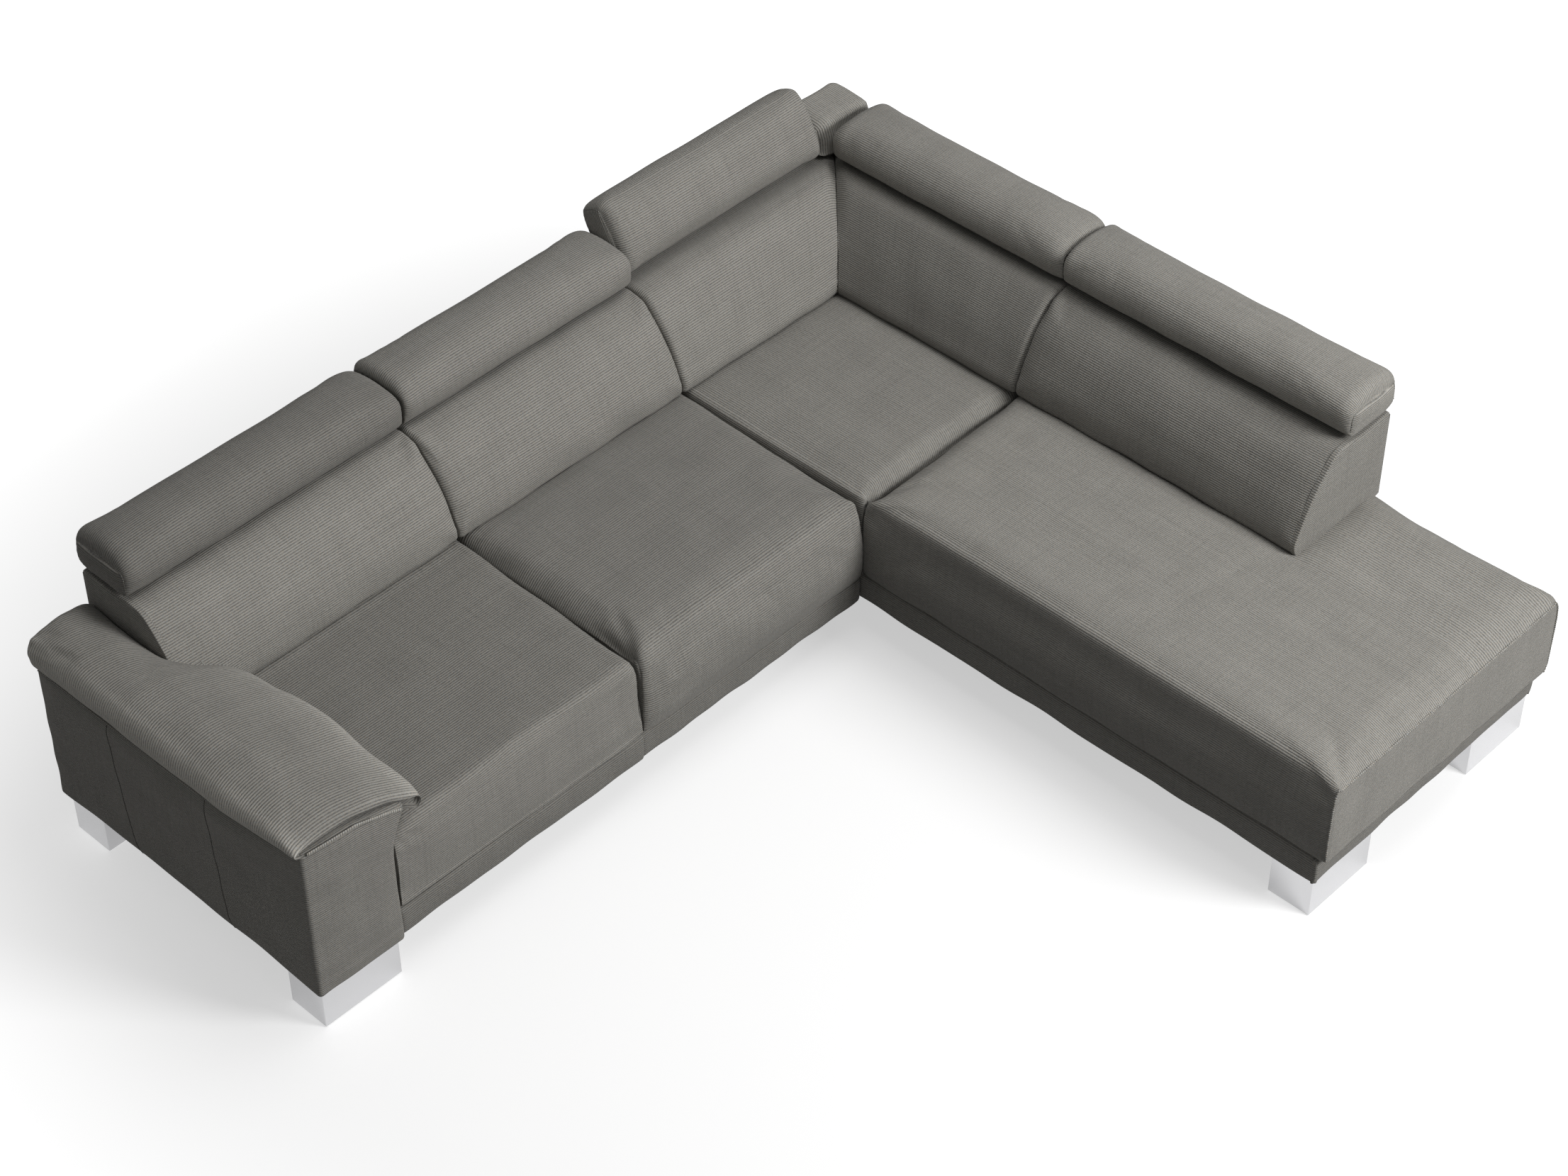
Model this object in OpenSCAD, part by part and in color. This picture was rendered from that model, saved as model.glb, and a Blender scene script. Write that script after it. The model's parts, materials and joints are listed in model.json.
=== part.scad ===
// Corner sofa: a long wing with an arm on the left, a chaise wing on the right,
// and five headrests that tilt on ratchet hinges. Millimetres, +Z up. The origin is on
// the floor under the middle of the sofa. +X runs along the long wing to its outer
// corner, and the chaise points along -Y.

/* [Layout] */
// Width of each of the two seats of the long wing
seat_w = 727; // [620:1:820]
// Width of the chaise wing, from its open side to its outer rear face
chaise_w = 841; // [780:1:960]
// Depth of the long wing, from its outer rear face to its base border
seat_depth = 880; // [820:1:960]
// Length of the chaise wing, from the outer rear face to its base border
chaise_len = 2226; // [2050:1:2500]
// How far the backs of the chaise wing reach along it
chaise_back_len = 1734; // [1500:1:1850]
// Gap where two modules or cushions meet
seam_gap = 5; // [2:1:10]

/* [Heights] */
// Height of the lower edge of the upholstery above the floor
base_z = 110; // [90:1:150]
// Height of the base border below the seats
border_h = 78; // [60:1:100]
// Height of the seats
seat_h = 430; // [400:1:470]
// Height of the backs below the headrests
back_h = 672; // [640:1:740]
// Height of the armrest at its crown
arm_h = 604; // [560:1:640]

/* [Seats] */
// How far the seat cushions bulge past the base border
seat_bulge = 12; // [0:1:20]
// Radius of the upper front edge of the seat cushions
seat_round = 30; // [10:1:60]
// Thickness of the foam above the springs
foam_h = 178; // [140:1:200]
// Height of the felt between springs and foam
felt_h = 9; // [4:1:14]
// Thickness of a base border with its cover
border_t = 12; // [8:1:18]
// Thickness of the fabric below the frames
dust_t = 3; // [1:0.5:4]
// How far the left base border of the chaise wing stands back from the seam
border_back = 6; // [2:1:12]
// How far the open side of the chaise stands back from the outer rear face
side_back = 4; // [0:1:12]

/* [Backs] */
// Depth of a back at the seat
back_foot_t = 315; // [270:1:350]
// Depth of a back below the headrest
back_top_t = 150; // [130:1:190]
// Depth of the rear cover with its padding
rear_cover_t = 12; // [6:1:20]
// Thickness of the timber of the back frames
back_frame_t = 50; // [35:1:60]
// Thickness of the panel that closes the end of a back
end_panel_t = 12; // [6:1:18]
// How far the seams of the long wing's backs lie from the seams of its seats
back_seam_shift = 14; // [0:1:30]
// The same for the seam of the chaise wing's backs
chaise_seam_shift = 8; // [0:1:20]
// How far the backs of the long wing reach over the armrest
back_over_arm = 70; // [50:1:100]
// Height of the arch on the corner where the two wings meet
corner_block_h = 92; // [60:1:105]

/* [Armrest] */
// Width of the armrest below its pad
arm_w = 233; // [190:1:280]
// Gap between the armrest and the seat beside it
arm_gap = 13; // [8:1:25]
// Height of the armrest's pad
pad_h = 106; // [90:1:125]
// How far the pad stands out past the outer side
pad_out = 24; // [5:1:35]
// How far the pad hangs over the seat
pad_over = 88; // [40:1:110]
// How far the arm reaches past the base border
arm_front = 10; // [0:1:20]
// Thickness of the padded cover of the armrest
arm_skin = 8; // [4:1:14]
// Thickness of the boards of the armrest
arm_board_t = 18; // [12:1:25]

/* [Headrests] */
// How far a lowered headrest stands out behind the back
head_rear = 32; // [10:1:45]
// Distance of a lowered headrest's nose from the outer rear face
head_front = 161; // [152:1:167]
// Thickness of a headrest
head_h = 103; // [90:1:115]
// Height of the gap between a back and the lowered headrest above it
head_gap = 9; // [5:1:14]
// Angle between the lowered and the raised headrest
raise_angle = 60; // [40:1:65]
// Gap between two headrests
head_side_gap = 6; // [3:1:12]
// Distance of the hinges from the ends of a headrest
hinge_inset = 150; // [80:1:220]
// Distance of the hinge pins from the outer rear face
hinge_t = 89; // [84:1:94]
// Height of the hinge pins above the backs
hinge_rise = 86; // [80:1:90]
// Radius of the hinge pins
pin_r = 4; // [3:0.5:5]
// Radial clearance of the hinge pins in their holes
pin_fit = 0.05; // [0.02:0.01:0.1]
// Thickness of the toothed lug of a hinge
lug_t = 4; // [3:0.5:6]
// Thickness of the two ears of a hinge's moving leaf
ear_t = 3; // [2:0.5:4]

/* [Frame] */
// Thickness of the rails of the seat frames
rail_t = 25; // [18:1:35]
// Diameter of the bolts that join the modules and the arm
bolt_d = 8; // [6:1:12]
// Number of springs under each seat
springs_per_seat = 5; // [3:1:6]
// Thickness of the spring wire
wire_d = 4; // [3:0.5:5]

/* [Feet] */
// Length of a box foot
foot_l = 216; // [160:1:220]
// Width of a box foot
foot_w = 112; // [80:1:130]
// Wall of a box foot
foot_wall = 3; // [2:0.5:5]
// Distance of the feet from the edge of the upholstery
foot_inset = 8; // [4:1:20]
// Distance of the rear arm foot from the outer rear face
rear_foot_inset = 21; // [12:1:60]
// Diameter of the round support feet
support_d = 50; // [35:1:60]
// Thickness of the glides under the feet
glide_t = 2; // [1:0.5:4]
// Diameter of a glide
glide_d = 20; // [12:1:30]
// Thickness of the plates on the feet
plate_t = 5; // [3:1:6]
// Diameter of the foot screws
screw_d = 6; // [5:1:8]

/* [Hidden] */
$fn = 48;

// Small gap that keeps neighbouring pieces apart
fit = 0.3;
fabric = [0.50, 0.49, 0.46];
timber = [0.80, 0.66, 0.46];
steel = [0.72, 0.72, 0.74];
black = [0.10, 0.10, 0.11];

// Places along X of the long wing, counted from the outer corner at zero
x_corner = -chaise_w;
x_middle = x_corner - seat_w;
x_left = x_middle - seat_w;
x_arm_in = x_left - arm_gap;
x_arm_out = x_arm_in - arm_w;
x_back_left = x_arm_in - back_over_arm;
y_arm_front = -seat_depth - arm_front;
x_frame_left = x_left + 3;
x_border = x_corner + border_back;
x_right = -side_back;
y_back_end = -chaise_back_len;
y_back_seam = -seat_depth - chaise_seam_shift;

// Limits of the whole sofa at rest, which place the origin
x_min = x_arm_out - pad_out;
x_max = head_rear;
y_min = -chaise_len - 1.6 * seat_bulge;
y_max = head_rear;

// Heights of the layers under a seat, from the floor up
frame_z = base_z + plate_t;
dust_z = frame_z - dust_t;
foam_z = seat_h - foam_h;
felt_z = foam_z - felt_h;
spring_z = felt_z - wire_d - fit;
border_top = base_z + border_h;
pad_z = arm_h - pad_h;
bolt_z = (frame_z + border_top) / 2;

// Depths inside a back, counted from its outer rear face
t_frame = rear_cover_t + fit;
t_web = t_frame + back_frame_t;
web_t = 2;
t_pad = t_web + web_t + fit;
back_bow = 47;
back_belly = 32;
back_heel = 12;
back_rail_h = 68;
stile_w = 50;
strap_w = 50;
arm_notch = back_foot_t - 5;

// Room between the armrest and the back beside it
arm_clear = 2;

// Shape of the armrest's pad: its crown, its lip over the seat and its swing round the back
pad_crown = 100;
pad_tuck = 14;
pad_lip = 24;
pad_front = 6;
pad_swing = 110;

// Lower front edge of the seat cushions
tuck_d = 6;
tuck_h = 24;

// Waves of the springs
wave_l = 40;
wave_w = 48;

// Screws of the box feet
plate_inset = border_t - foot_inset + 2;
screw_in = 15;
screw_edge = 16;
screw_head_h = 4;

// Hinge of the headrests in the section of a back
hinge_z = back_h + hinge_rise;
head_bottom = back_h + head_gap;
head_top = head_bottom + head_h;
swing_r = hinge_rise - 3;
lug_r = 14;
tooth_h = 2;
arm_angle = 62;
arm_half = 11;
bracket_w = 36;
slot_w = lug_t + 2;
flange_t = 3;
head_r = 2 * pin_r;
head_t = 2.5;
side_play = 0.5;
ear_y = lug_t / 2 + side_play;
leaf_w = 2 * (ear_y + ear_t + 6);
rail_top = back_h - 14;
foot_z = rail_top;
flap_z = foot_z + lug_t + fit;
bracket_edge = 4;
tooth_step = 14;
ear_r = lug_r - 1;
ear_lean = 65;

// Board inside a lowered headrest
board_t = 15;
board_z = head_bottom + 20;
board_rear = -head_rear + 14;
board_front = 44;
board_inset = 40;
leaf_rear = -6;

function arc(c, r, a0, a1, n = 8) =
    [for (i = [0 : n]) c + r * [cos(a0 + (a1 - a0) * i / n), sin(a0 + (a1 - a0) * i / n)]];

function curve(p, q, r, n = 10) =
    [for (i = [0 : n]) let (u = i / n) (1 - u) * (1 - u) * p + 2 * u * (1 - u) * q + u * u * r];

// How the headrests end in the inner corner, counted from the nose of the other wing's
corner_room = 39;
corner_lap = 8;
block_gap = 4;

// Ends of each headrest along its wing
left_span = [x_back_left, x_middle - back_seam_shift - head_side_gap];
middle_span = [left_span[1] + head_side_gap, x_corner - back_seam_shift - head_side_gap];
corner_span = [middle_span[1] + head_side_gap, -head_front - corner_room];
corner_right_span = [-seat_depth - head_side_gap, -head_front + corner_lap];
chaise_span = [-chaise_back_len, corner_right_span[0] - head_side_gap];

// Places everything in the frame of the whole sofa
module on_sofa() {
    translate([-(x_min + x_max) / 2, -(y_min + y_max) / 2, 0]) children();
}

// Turns the long wing's directions into the chaise wing's
module chaise_wing() {
    mirror([1, -1, 0]) children();
}

// A prism along X from x0 to x1 with its section given by depth and height
module along(x0, x1) {
    translate([x1, 0, 0]) rotate([90, 0, -90]) linear_extrude(x1 - x0) children();
}

module bar(x, y, z) {
    translate([x[0], y[0], z[0]]) cube([x[1] - x[0], y[1] - y[0], z[1] - z[0]]);
}

// A cylinder along X
module rod(x, y, z, r) {
    translate([x[0], y, z]) rotate([0, 90, 0]) cylinder(h = x[1] - x[0], r = r);
}

// Rails and boards

module left_seat_frame() {
    x0 = x_frame_left;
    x1 = x_corner - seam_gap;
    y1 = -t_pad;
    y0 = -seat_depth + border_t;
    z = [frame_z, spring_z];
    color(timber) on_sofa() difference() {
        union() {
            for (x = [x0, x1 - rail_t]) bar([x, x + rail_t], [y0, y1], z);
            for (y = [y0, y1 - rail_t]) {
                bar([x0 + rail_t + fit, x_middle - rail_t / 2 - fit], [y, y + rail_t], z);
                bar([x_middle + rail_t / 2 + fit, x1 - rail_t - fit], [y, y + rail_t], z);
            }
            bar([x_middle - rail_t / 2, x_middle + rail_t / 2], [y0, y1], z);
        }
        bolt_holes();
    }
}

module right_seat_frame() {
    x0 = x_border + border_t;
    x2 = x_right - border_t;
    x1 = -t_pad;
    y0 = -chaise_len + border_t;
    y1 = -t_pad;
    z = [frame_z, spring_z];
    inner = x0 + rail_t + fit;
    color(timber) on_sofa() difference() {
        union() {
            bar([x0, x0 + rail_t], [y0, y1], z);
            bar([inner, x2], [y0, y0 + rail_t], z);
            bar([x2 - rail_t, x2], [y0 + rail_t + fit, y_back_end], z);
            bar([inner, x2 - rail_t - fit], [y_back_end - rail_t, y_back_end], z);
            bar([x1 - rail_t, x1], [y_back_end + fit, y1], z);
            bar([inner, x1 - rail_t - fit], [y1 - rail_t, y1], z);
            bar([inner, x1 - rail_t - fit], [-seat_depth - rail_t / 2, -seat_depth + rail_t / 2], z);
            for (x = [inner, x2 - rail_t - fit - foot_l + foot_inset])
                bar([x, x + foot_l - foot_inset], [y0 + rail_t + fit, y0 + foot_w],
                    [frame_z, frame_z + arm_board_t]);
        }
        bolt_holes();
        foot_screw_places() translate([0, 0, frame_z - 1]) cylinder(h = screw_in + 2, d = screw_d + 0.1);
    }
}

// One zigzag spring lying along X from x0 to x1
module zigzag(x0, x1, y) {
    n = 2 * floor((x1 - x0) / wave_l);
    step = (x1 - x0) / n;
    half = wire_d / 2 * sqrt(1 + pow(wave_w / step, 2));
    side = [for (i = [0 : n]) [x0 + i * step, y + wave_w / 2 * (i % 2 == 0 ? -1 : 1)]];
    translate([0, 0, spring_z]) linear_extrude(wire_d)
        polygon(concat([for (p = side) p - [0, half]],
                       [for (i = [n : -1 : 0]) side[i] + [0, half]]));
}

module spring_row(x0, x1, y0, y1, count) {
    for (i = [1 : count]) zigzag(x0, x1, y0 + (y1 - y0) * (i - 0.5) / count);
}

module left_springs() {
    color(steel) on_sofa() for (x = [x_left, x_middle])
        chaise_wing() spring_row(-seat_depth + border_t + rail_t / 2, -t_pad - rail_t / 2,
                                 x + rail_t + wave_w / 2, x + seat_w - rail_t - wave_w / 2,
                                 springs_per_seat);
}

module right_springs() {
    x0 = x_border + border_t + rail_t / 2;
    x1 = -t_pad - rail_t / 2;
    color(steel) on_sofa() {
        spring_row(x0, x1, -seat_depth + rail_t, -t_pad - rail_t, springs_per_seat);
        spring_row(x0, x1, y_back_end + fit, -seat_depth - rail_t, springs_per_seat);
        spring_row(x0, x_right - border_t - rail_t / 2, -chaise_len + border_t + rail_t,
                   y_back_end - rail_t, max(1, springs_per_seat - 2));
    }
}

// A plan of the chaise wing's seats from y0 to y1, from x0 to the backs and, past them, to xr
module chaise_plan(x0, y0, y1, xr) {
    polygon([[x0, y1], [-t_pad, y1], [-t_pad, y_back_end], [xr, y_back_end], [xr, y0], [x0, y0]]);
}

module left_spring_felt() {
    color("dimgray") on_sofa() bar([x_frame_left, x_corner - seam_gap],
                                   [-seat_depth + border_t, -t_pad], [felt_z, foam_z - fit]);
}

module right_spring_felt() {
    color("dimgray") on_sofa() translate([0, 0, felt_z]) linear_extrude(felt_h - fit)
        chaise_plan(x_border + border_t, -chaise_len + border_t, -t_pad, x_right - border_t);
}

// Seats

module seat_block(x0, x1) {
    front = seat_depth + seat_bulge;
    lip = seat_depth - border_t + fit;
    on_sofa() along(x0, x1) polygon(concat(
        [[t_pad, foam_z], [lip, foam_z], [lip, border_top + fit], [front - tuck_d, border_top + fit],
         [front, border_top + tuck_h]],
        arc([front - seat_round, seat_h - seat_round], seat_round, 0, 90),
        [[t_pad, seat_h]]));
}

module left_seat_cushion() {
    color(fabric) seat_block(x_left, x_middle - seam_gap / 2);
}

module middle_seat_cushion() {
    color(fabric) seat_block(x_middle + seam_gap / 2, x_corner - seam_gap / 2);
}

module corner_seat_cushion() {
    color(fabric) on_sofa() bar([x_corner + seam_gap / 2, -t_pad],
                                [-seat_depth + seam_gap / 2, -t_pad], [foam_z, seat_h]);
}

module chaise_cushion() {
    x0 = x_corner + seam_gap / 2;
    x1 = x_right + seat_bulge;
    y1 = -seat_depth - seam_gap / 2;
    r = seat_round;
    color(fabric) on_sofa() difference() {
        intersection() {
            translate([0, 0, border_top + fit]) linear_extrude(seat_h - border_top - fit)
                chaise_plan(x0, y_min, y1, x1);
            translate([0, y1, 0]) rotate([90, 0, 0]) linear_extrude(y1 - y_min)
                polygon(concat([[x0, base_z], [x1, base_z]], arc([x1 - r, seat_h - r], r, 0, 90),
                               arc([x0 + r, seat_h - r], r, 90, 180)));
            along(x0, x1)
                polygon(concat([[-y1, base_z], [-y_min, base_z]],
                               arc([-y_min - r, seat_h - r], r, 0, 90), [[-y1, seat_h]]));
        }
        translate([0, 0, base_z]) linear_extrude(foam_z - base_z)
            chaise_plan(x_border + border_t - fit, -chaise_len + border_t - fit, 0,
                        x_right - border_t + fit);
    }
}

module left_base_border() {
    color(fabric) on_sofa() bar([x_left, x_middle - seam_gap / 2],
                                [-seat_depth, -seat_depth + border_t - fit], [base_z, border_top]);
}

module middle_base_border() {
    color(fabric) on_sofa() bar([x_middle + seam_gap / 2, x_corner - seam_gap / 2],
                                [-seat_depth, -seat_depth + border_t - fit], [base_z, border_top]);
}

module chaise_base_border() {
    z = [base_z, border_top];
    color(fabric) on_sofa() difference() {
        union() {
            bar([x_border, x_border + border_t - fit], [-chaise_len, -t_pad], z);
            bar([x_border + border_t, x_right - border_t],
                [-chaise_len, -chaise_len + border_t - fit], z);
            bar([x_right - border_t + fit, x_right], [-chaise_len, y_back_end], z);
        }
        bolt_holes();
    }
}

module dust_holes() {
    foot_places() bar([plate_inset - fit, foot_l - plate_inset + fit],
                      [plate_inset - fit, foot_w - plate_inset + fit], [0, frame_z]);
    support_places() cylinder(h = frame_z, d = support_d + 2);
}

module left_dust_cover() {
    color(black) on_sofa() difference() {
        bar([x_frame_left, x_corner - seam_gap], [-seat_depth + border_t, -t_pad], [dust_z, frame_z]);
        dust_holes();
    }
}

module right_dust_cover() {
    color(black) on_sofa() difference() {
        translate([0, 0, dust_z]) linear_extrude(dust_t)
            chaise_plan(x_border + border_t, -chaise_len + border_t, -t_pad, x_right - border_t);
        dust_holes();
    }
}

// Armrest

// The outer block of the armrest below its pad, inset by d, from z[0] to z[1]
module arm_block(d, z) {
    bar([x_arm_out + d, x_arm_in - d], [y_arm_front + d, -d], z);
}

// Space of the armrest, which the back beside it stays clear of
module arm_space() {
    bar([x_min - 1, x_arm_in + arm_clear], [y_arm_front, 1], [0, pad_z + fit]);
}

module arm_frame() {
    d = arm_skin + fit;
    b = arm_board_t;
    x0 = x_arm_out + d;
    x1 = x_arm_in - d;
    y0 = y_arm_front + d;
    z = [frame_z + b + fit, pad_z - b - fit];
    color(timber) on_sofa() difference() {
        union() {
            for (z0 = [frame_z, pad_z - b]) arm_block(d, [z0, z0 + b]);
            for (y = [y0, -d - b]) bar([x0, x1], [y, y + b], z);
            bar([x1 - b, x1], [y0 + b + fit, -d - b - fit], z);
        }
        bolt_holes();
        foot_screw_places() translate([0, 0, frame_z - 1]) cylinder(h = screw_in + 2, d = screw_d + 0.1);
    }
}

module arm_cover() {
    s = arm_skin;
    z = [base_z, pad_z];
    color(fabric) on_sofa() difference() {
        union() {
            for (x = [x_arm_out, x_arm_in - s]) bar([x, x + s], [y_arm_front, 0], z);
            for (y = [y_arm_front, -s])
                bar([x_arm_out + s + fit, x_arm_in - s - fit], [y, y + s], z);
        }
        bolt_holes();
    }
}

module arm_pad() {
    xn = x_back_left - arm_clear;
    tip = x_arm_in + pad_over;
    xm = (xn + tip) / 2;
    y0 = y_arm_front - pad_front;
    ym = -arm_notch - pad_swing / 2;
    side = (pad_z + arm_h) / 2;
    crown = [x_min + pad_crown, arm_h];
    under = pad_z - pad_lip;
    color(fabric) on_sofa() intersection() {
        rotate([90, 0, 0]) linear_extrude(-y0) polygon(concat(
            [[x_arm_in + fit, pad_z + fit]],
            curve([x_arm_out + pad_tuck, pad_z + fit], [x_min, pad_z + fit], [x_min, side], 6),
            curve([x_min, side + 1], [x_min, arm_h], crown, 8),
            curve(crown + [1, 0], [x_arm_in + pad_lip, arm_h], [tip, pad_z + 1], 10),
            curve([tip, pad_z], [tip, under], [tip - pad_lip, under], 5),
            [[x_arm_in + fit, under]]));
        translate([0, 0, under - 1]) linear_extrude(arm_h) polygon(concat(
            [[x_min - 1, 0], [xn, 0]],
            curve([xn, -arm_notch], [xn, ym], [xm, ym], 5),
            curve([xm + 1, ym], [tip, ym], [tip + 1, ym - pad_swing / 2], 5),
            [[tip + 1, y0], [x_min - 1, y0]]));
    }
}

// Backs

// Section of a back in front of its frame, from the seat up
function back_front() = concat(
    [[back_foot_t - back_heel, seat_h + fit]],
    curve([back_foot_t, seat_h + back_heel],
          [back_foot_t - back_belly, (seat_h + back_h) / 2 + back_bow],
          [back_top_t, back_h]));

// Rails from x0 above and from low_x0 below to x1, with stiles between them
module back_frame(x0, low_x0, x1, stiles) {
    y = [-t_web, -t_frame];
    bar([low_x0, x1], y, [frame_z, frame_z + back_rail_h]);
    bar([x0, x1], y, [rail_top - back_rail_h, rail_top]);
    for (x = stiles)
        bar([x, x + stile_w], y, [frame_z + back_rail_h + fit, rail_top - back_rail_h - fit]);
}

module left_back_frame() {
    low_x0 = x_arm_in + arm_clear + fit;
    color(timber) on_sofa() back_frame(x_back_left + end_panel_t + fit, low_x0, -t_pad,
        [low_x0, x_middle - stile_w / 2, x_corner - stile_w / 2, -t_pad - stile_w]);
}

module right_back_frame() {
    x0 = y_back_end + end_panel_t + fit;
    color(timber) on_sofa() chaise_wing() back_frame(x0, x0, -t_frame,
        [x0, -seat_depth - stile_w / 2, -t_frame - stile_w]);
}

// Vertical elastic straps between x0 and x1
module straps(x0, x1, count) {
    for (i = [1 : count]) let (x = x0 + (x1 - x0) * (i - 0.5) / count)
        bar([x - strap_w / 2, x + strap_w / 2], [-t_web - web_t, -t_web],
            [frame_z + back_rail_h / 2, rail_top - back_rail_h / 2]);
}

module left_back_webbing() {
    color("saddlebrown") on_sofa() {
        straps(x_arm_in + arm_clear + stile_w, x_middle - stile_w / 2, 4);
        straps(x_middle + stile_w / 2, x_corner - stile_w / 2, 4);
        straps(x_corner + stile_w / 2, -back_foot_t, 3);
    }
}

module right_back_webbing() {
    color("saddlebrown") on_sofa() chaise_wing() {
        straps(y_back_end + end_panel_t + stile_w, -seat_depth - stile_w / 2, 4);
        straps(-seat_depth + stile_w / 2, -back_foot_t, 3);
    }
}

module back_block(x0, x1) {
    along(x0, x1) polygon(concat([[t_pad, seat_h + fit]], back_front(), [[t_pad, back_h]]));
}

// Keeps what lies on the long wing's side of the mitre in the inner corner
module mitre() {
    far = 2 * chaise_w;
    translate([0, 0, seat_h]) linear_extrude(back_h)
        polygon([[-fit, 0], [-far - fit, -far], [-far - fit, 0]]);
}

module left_back_cushion() {
    color(fabric) on_sofa() difference() {
        back_block(x_back_left + end_panel_t + fit, x_middle - back_seam_shift);
        arm_space();
    }
}

module middle_back_cushion() {
    color(fabric) on_sofa() back_block(x_middle - back_seam_shift + fit, x_corner - back_seam_shift);
}

module corner_left_back_cushion() {
    color(fabric) on_sofa() intersection() {
        back_block(x_corner - back_seam_shift + fit, 0);
        mitre();
    }
}

module corner_right_back_cushion() {
    color(fabric) on_sofa() chaise_wing() intersection() {
        back_block(y_back_seam + fit, 0);
        mitre();
    }
}

module chaise_back_cushion() {
    color(fabric) on_sofa() chaise_wing() back_block(y_back_end + end_panel_t + fit, y_back_seam);
}

module rear_cover(x0, x1, flap_x1, spans) {
    r = 6;
    difference() {
        union() {
            along(x0, x1) polygon(concat([[0, base_z], [rear_cover_t, base_z], [rear_cover_t, back_h]],
                                         arc([r, back_h - r], r, 90, 180, 4)));
            bar([x0, flap_x1], [-t_web, -rear_cover_t + 1], [flap_z, back_h]);
        }
        for (s = spans, x = hinge_places(s))
            bar([x - slot_w / 2, x + slot_w / 2],
                [-arm_t(back_h) - arm_half - 1, -arm_t(flap_z) + arm_half + 1], [foot_z, back_h + 1]);
    }
}

module left_rear_cover() {
    color(fabric) on_sofa() difference() {
        rear_cover(x_back_left + end_panel_t + fit, 0, -t_web - fit,
                   [left_span, middle_span, corner_span]);
        arm_space();
    }
}

module right_rear_cover() {
    color(fabric) on_sofa() chaise_wing()
        rear_cover(y_back_end + end_panel_t + fit, -t_frame, -t_frame, [corner_right_span, chaise_span]);
}

module end_panel(x0) {
    r = 6;
    along(x0, x0 + end_panel_t) polygon(concat([[0, seat_h + fit]], back_front(),
                                                arc([r, back_h - r], r, 90, 180, 4)));
}

module left_back_end_panel() {
    color(fabric) on_sofa() difference() {
        end_panel(x_back_left);
        arm_space();
    }
}

module chaise_back_end_panel() {
    color(fabric) on_sofa() chaise_wing() end_panel(y_back_end);
}

module corner_block() {
    x0 = corner_span[1] + block_gap;
    y0 = corner_right_span[1] + block_gap;
    out = head_rear / 2;
    r = 24;
    z1 = back_h + corner_block_h;
    color(fabric) on_sofa() intersection() {
        along(x0, out) polygon(concat([[-out, back_h + fit], [-y0, back_h + fit]],
            arc([-y0 - r, z1 - r], r, 0, 90), arc([-out + r, z1 - r], r, 90, 180)));
        translate([0, out, 0]) rotate([90, 0, 0]) linear_extrude(out - y0)
            polygon(concat([[x0, back_h], [out, back_h]], arc([out - r, z1 - r], r, 0, 90),
                           arc([x0 + r, z1 - r], r, 90, 180)));
    }
}

// Feet

// Corner of each box foot with the least x and y
function foot_corners() = [
    [x_arm_out + foot_inset, y_arm_front + foot_inset],
    [x_arm_out + foot_inset, -rear_foot_inset - foot_w],
    [x_border + foot_inset, -chaise_len + foot_inset],
    [x_right - foot_inset - foot_l, -chaise_len + foot_inset]
];

module foot_places() {
    for (p = foot_corners()) translate(p) children();
}

module foot_screw_places() {
    d = plate_inset + screw_edge;
    foot_places() for (x = [d, foot_l - d], y = [d, foot_w - d]) translate([x, y, 0]) children();
}

module support_places() {
    spots = [[x_middle, -0.78 * seat_depth], [x_middle, -0.2 * seat_depth],
             [x_corner - seam_gap - support_d / 2, -seat_depth / 2],
             [x_corner / 2, -t_pad - rail_t / 2], [-t_pad - rail_t / 2, -seat_depth / 2],
             [x_corner / 2, -seat_depth], [-t_pad - rail_t / 2, y_back_end + 2 * support_d],
             [x_corner / 2, y_back_end - rail_t / 2]];
    for (p = spots) translate(p) children();
}

module box_foot(i) {
    w = foot_wall;
    color("gainsboro") on_sofa() translate(foot_corners()[i]) difference() {
        bar([0, foot_l], [0, foot_w], [glide_t, base_z]);
        bar([w, foot_l - w], [w, foot_w - w], [glide_t + w, base_z + 1]);
    }
}

module arm_front_foot() {
    box_foot(0);
}

module arm_rear_foot() {
    box_foot(1);
}

module chaise_left_foot() {
    box_foot(2);
}

module chaise_right_foot() {
    box_foot(3);
}

module support_feet() {
    color(black) on_sofa() support_places() translate([0, 0, glide_t])
        cylinder(h = frame_z - glide_t, d = support_d);
}

module foot_plates() {
    color(steel) on_sofa() difference() {
        foot_places() bar([plate_inset, foot_l - plate_inset], [plate_inset, foot_w - plate_inset],
                          [base_z, frame_z]);
        foot_screw_places() cylinder(h = 2 * base_z, d = screw_d + 0.1);
    }
}

module foot_screws() {
    color(steel) on_sofa() foot_screw_places() {
        translate([0, 0, base_z]) cylinder(h = frame_z - base_z + screw_in, d = screw_d);
        translate([0, 0, base_z - screw_head_h]) cylinder(h = screw_head_h, d = 2 * screw_d);
    }
}

module glides() {
    d = glide_d / 2 + 4;
    color(black) on_sofa() {
        foot_places() for (x = [d, foot_l - d], y = [d, foot_w - d])
            translate([x, y, 0]) cylinder(h = glide_t, d = glide_d);
        support_places() cylinder(h = glide_t, d = support_d - 6);
    }
}

// Bolts that join the two modules and the arm

function bolt_y() = [-0.28 * seat_depth, -0.74 * seat_depth];

// Where the bolts clamp: from the first face to the last
function module_grip() = [x_corner - seam_gap - rail_t, x_border + border_t + rail_t];
function arm_grip() = [x_arm_in - arm_skin - fit - arm_board_t, x_frame_left + rail_t];
function arm_bolt_y() = [-0.5 * seat_depth, -0.88 * seat_depth];

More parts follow.
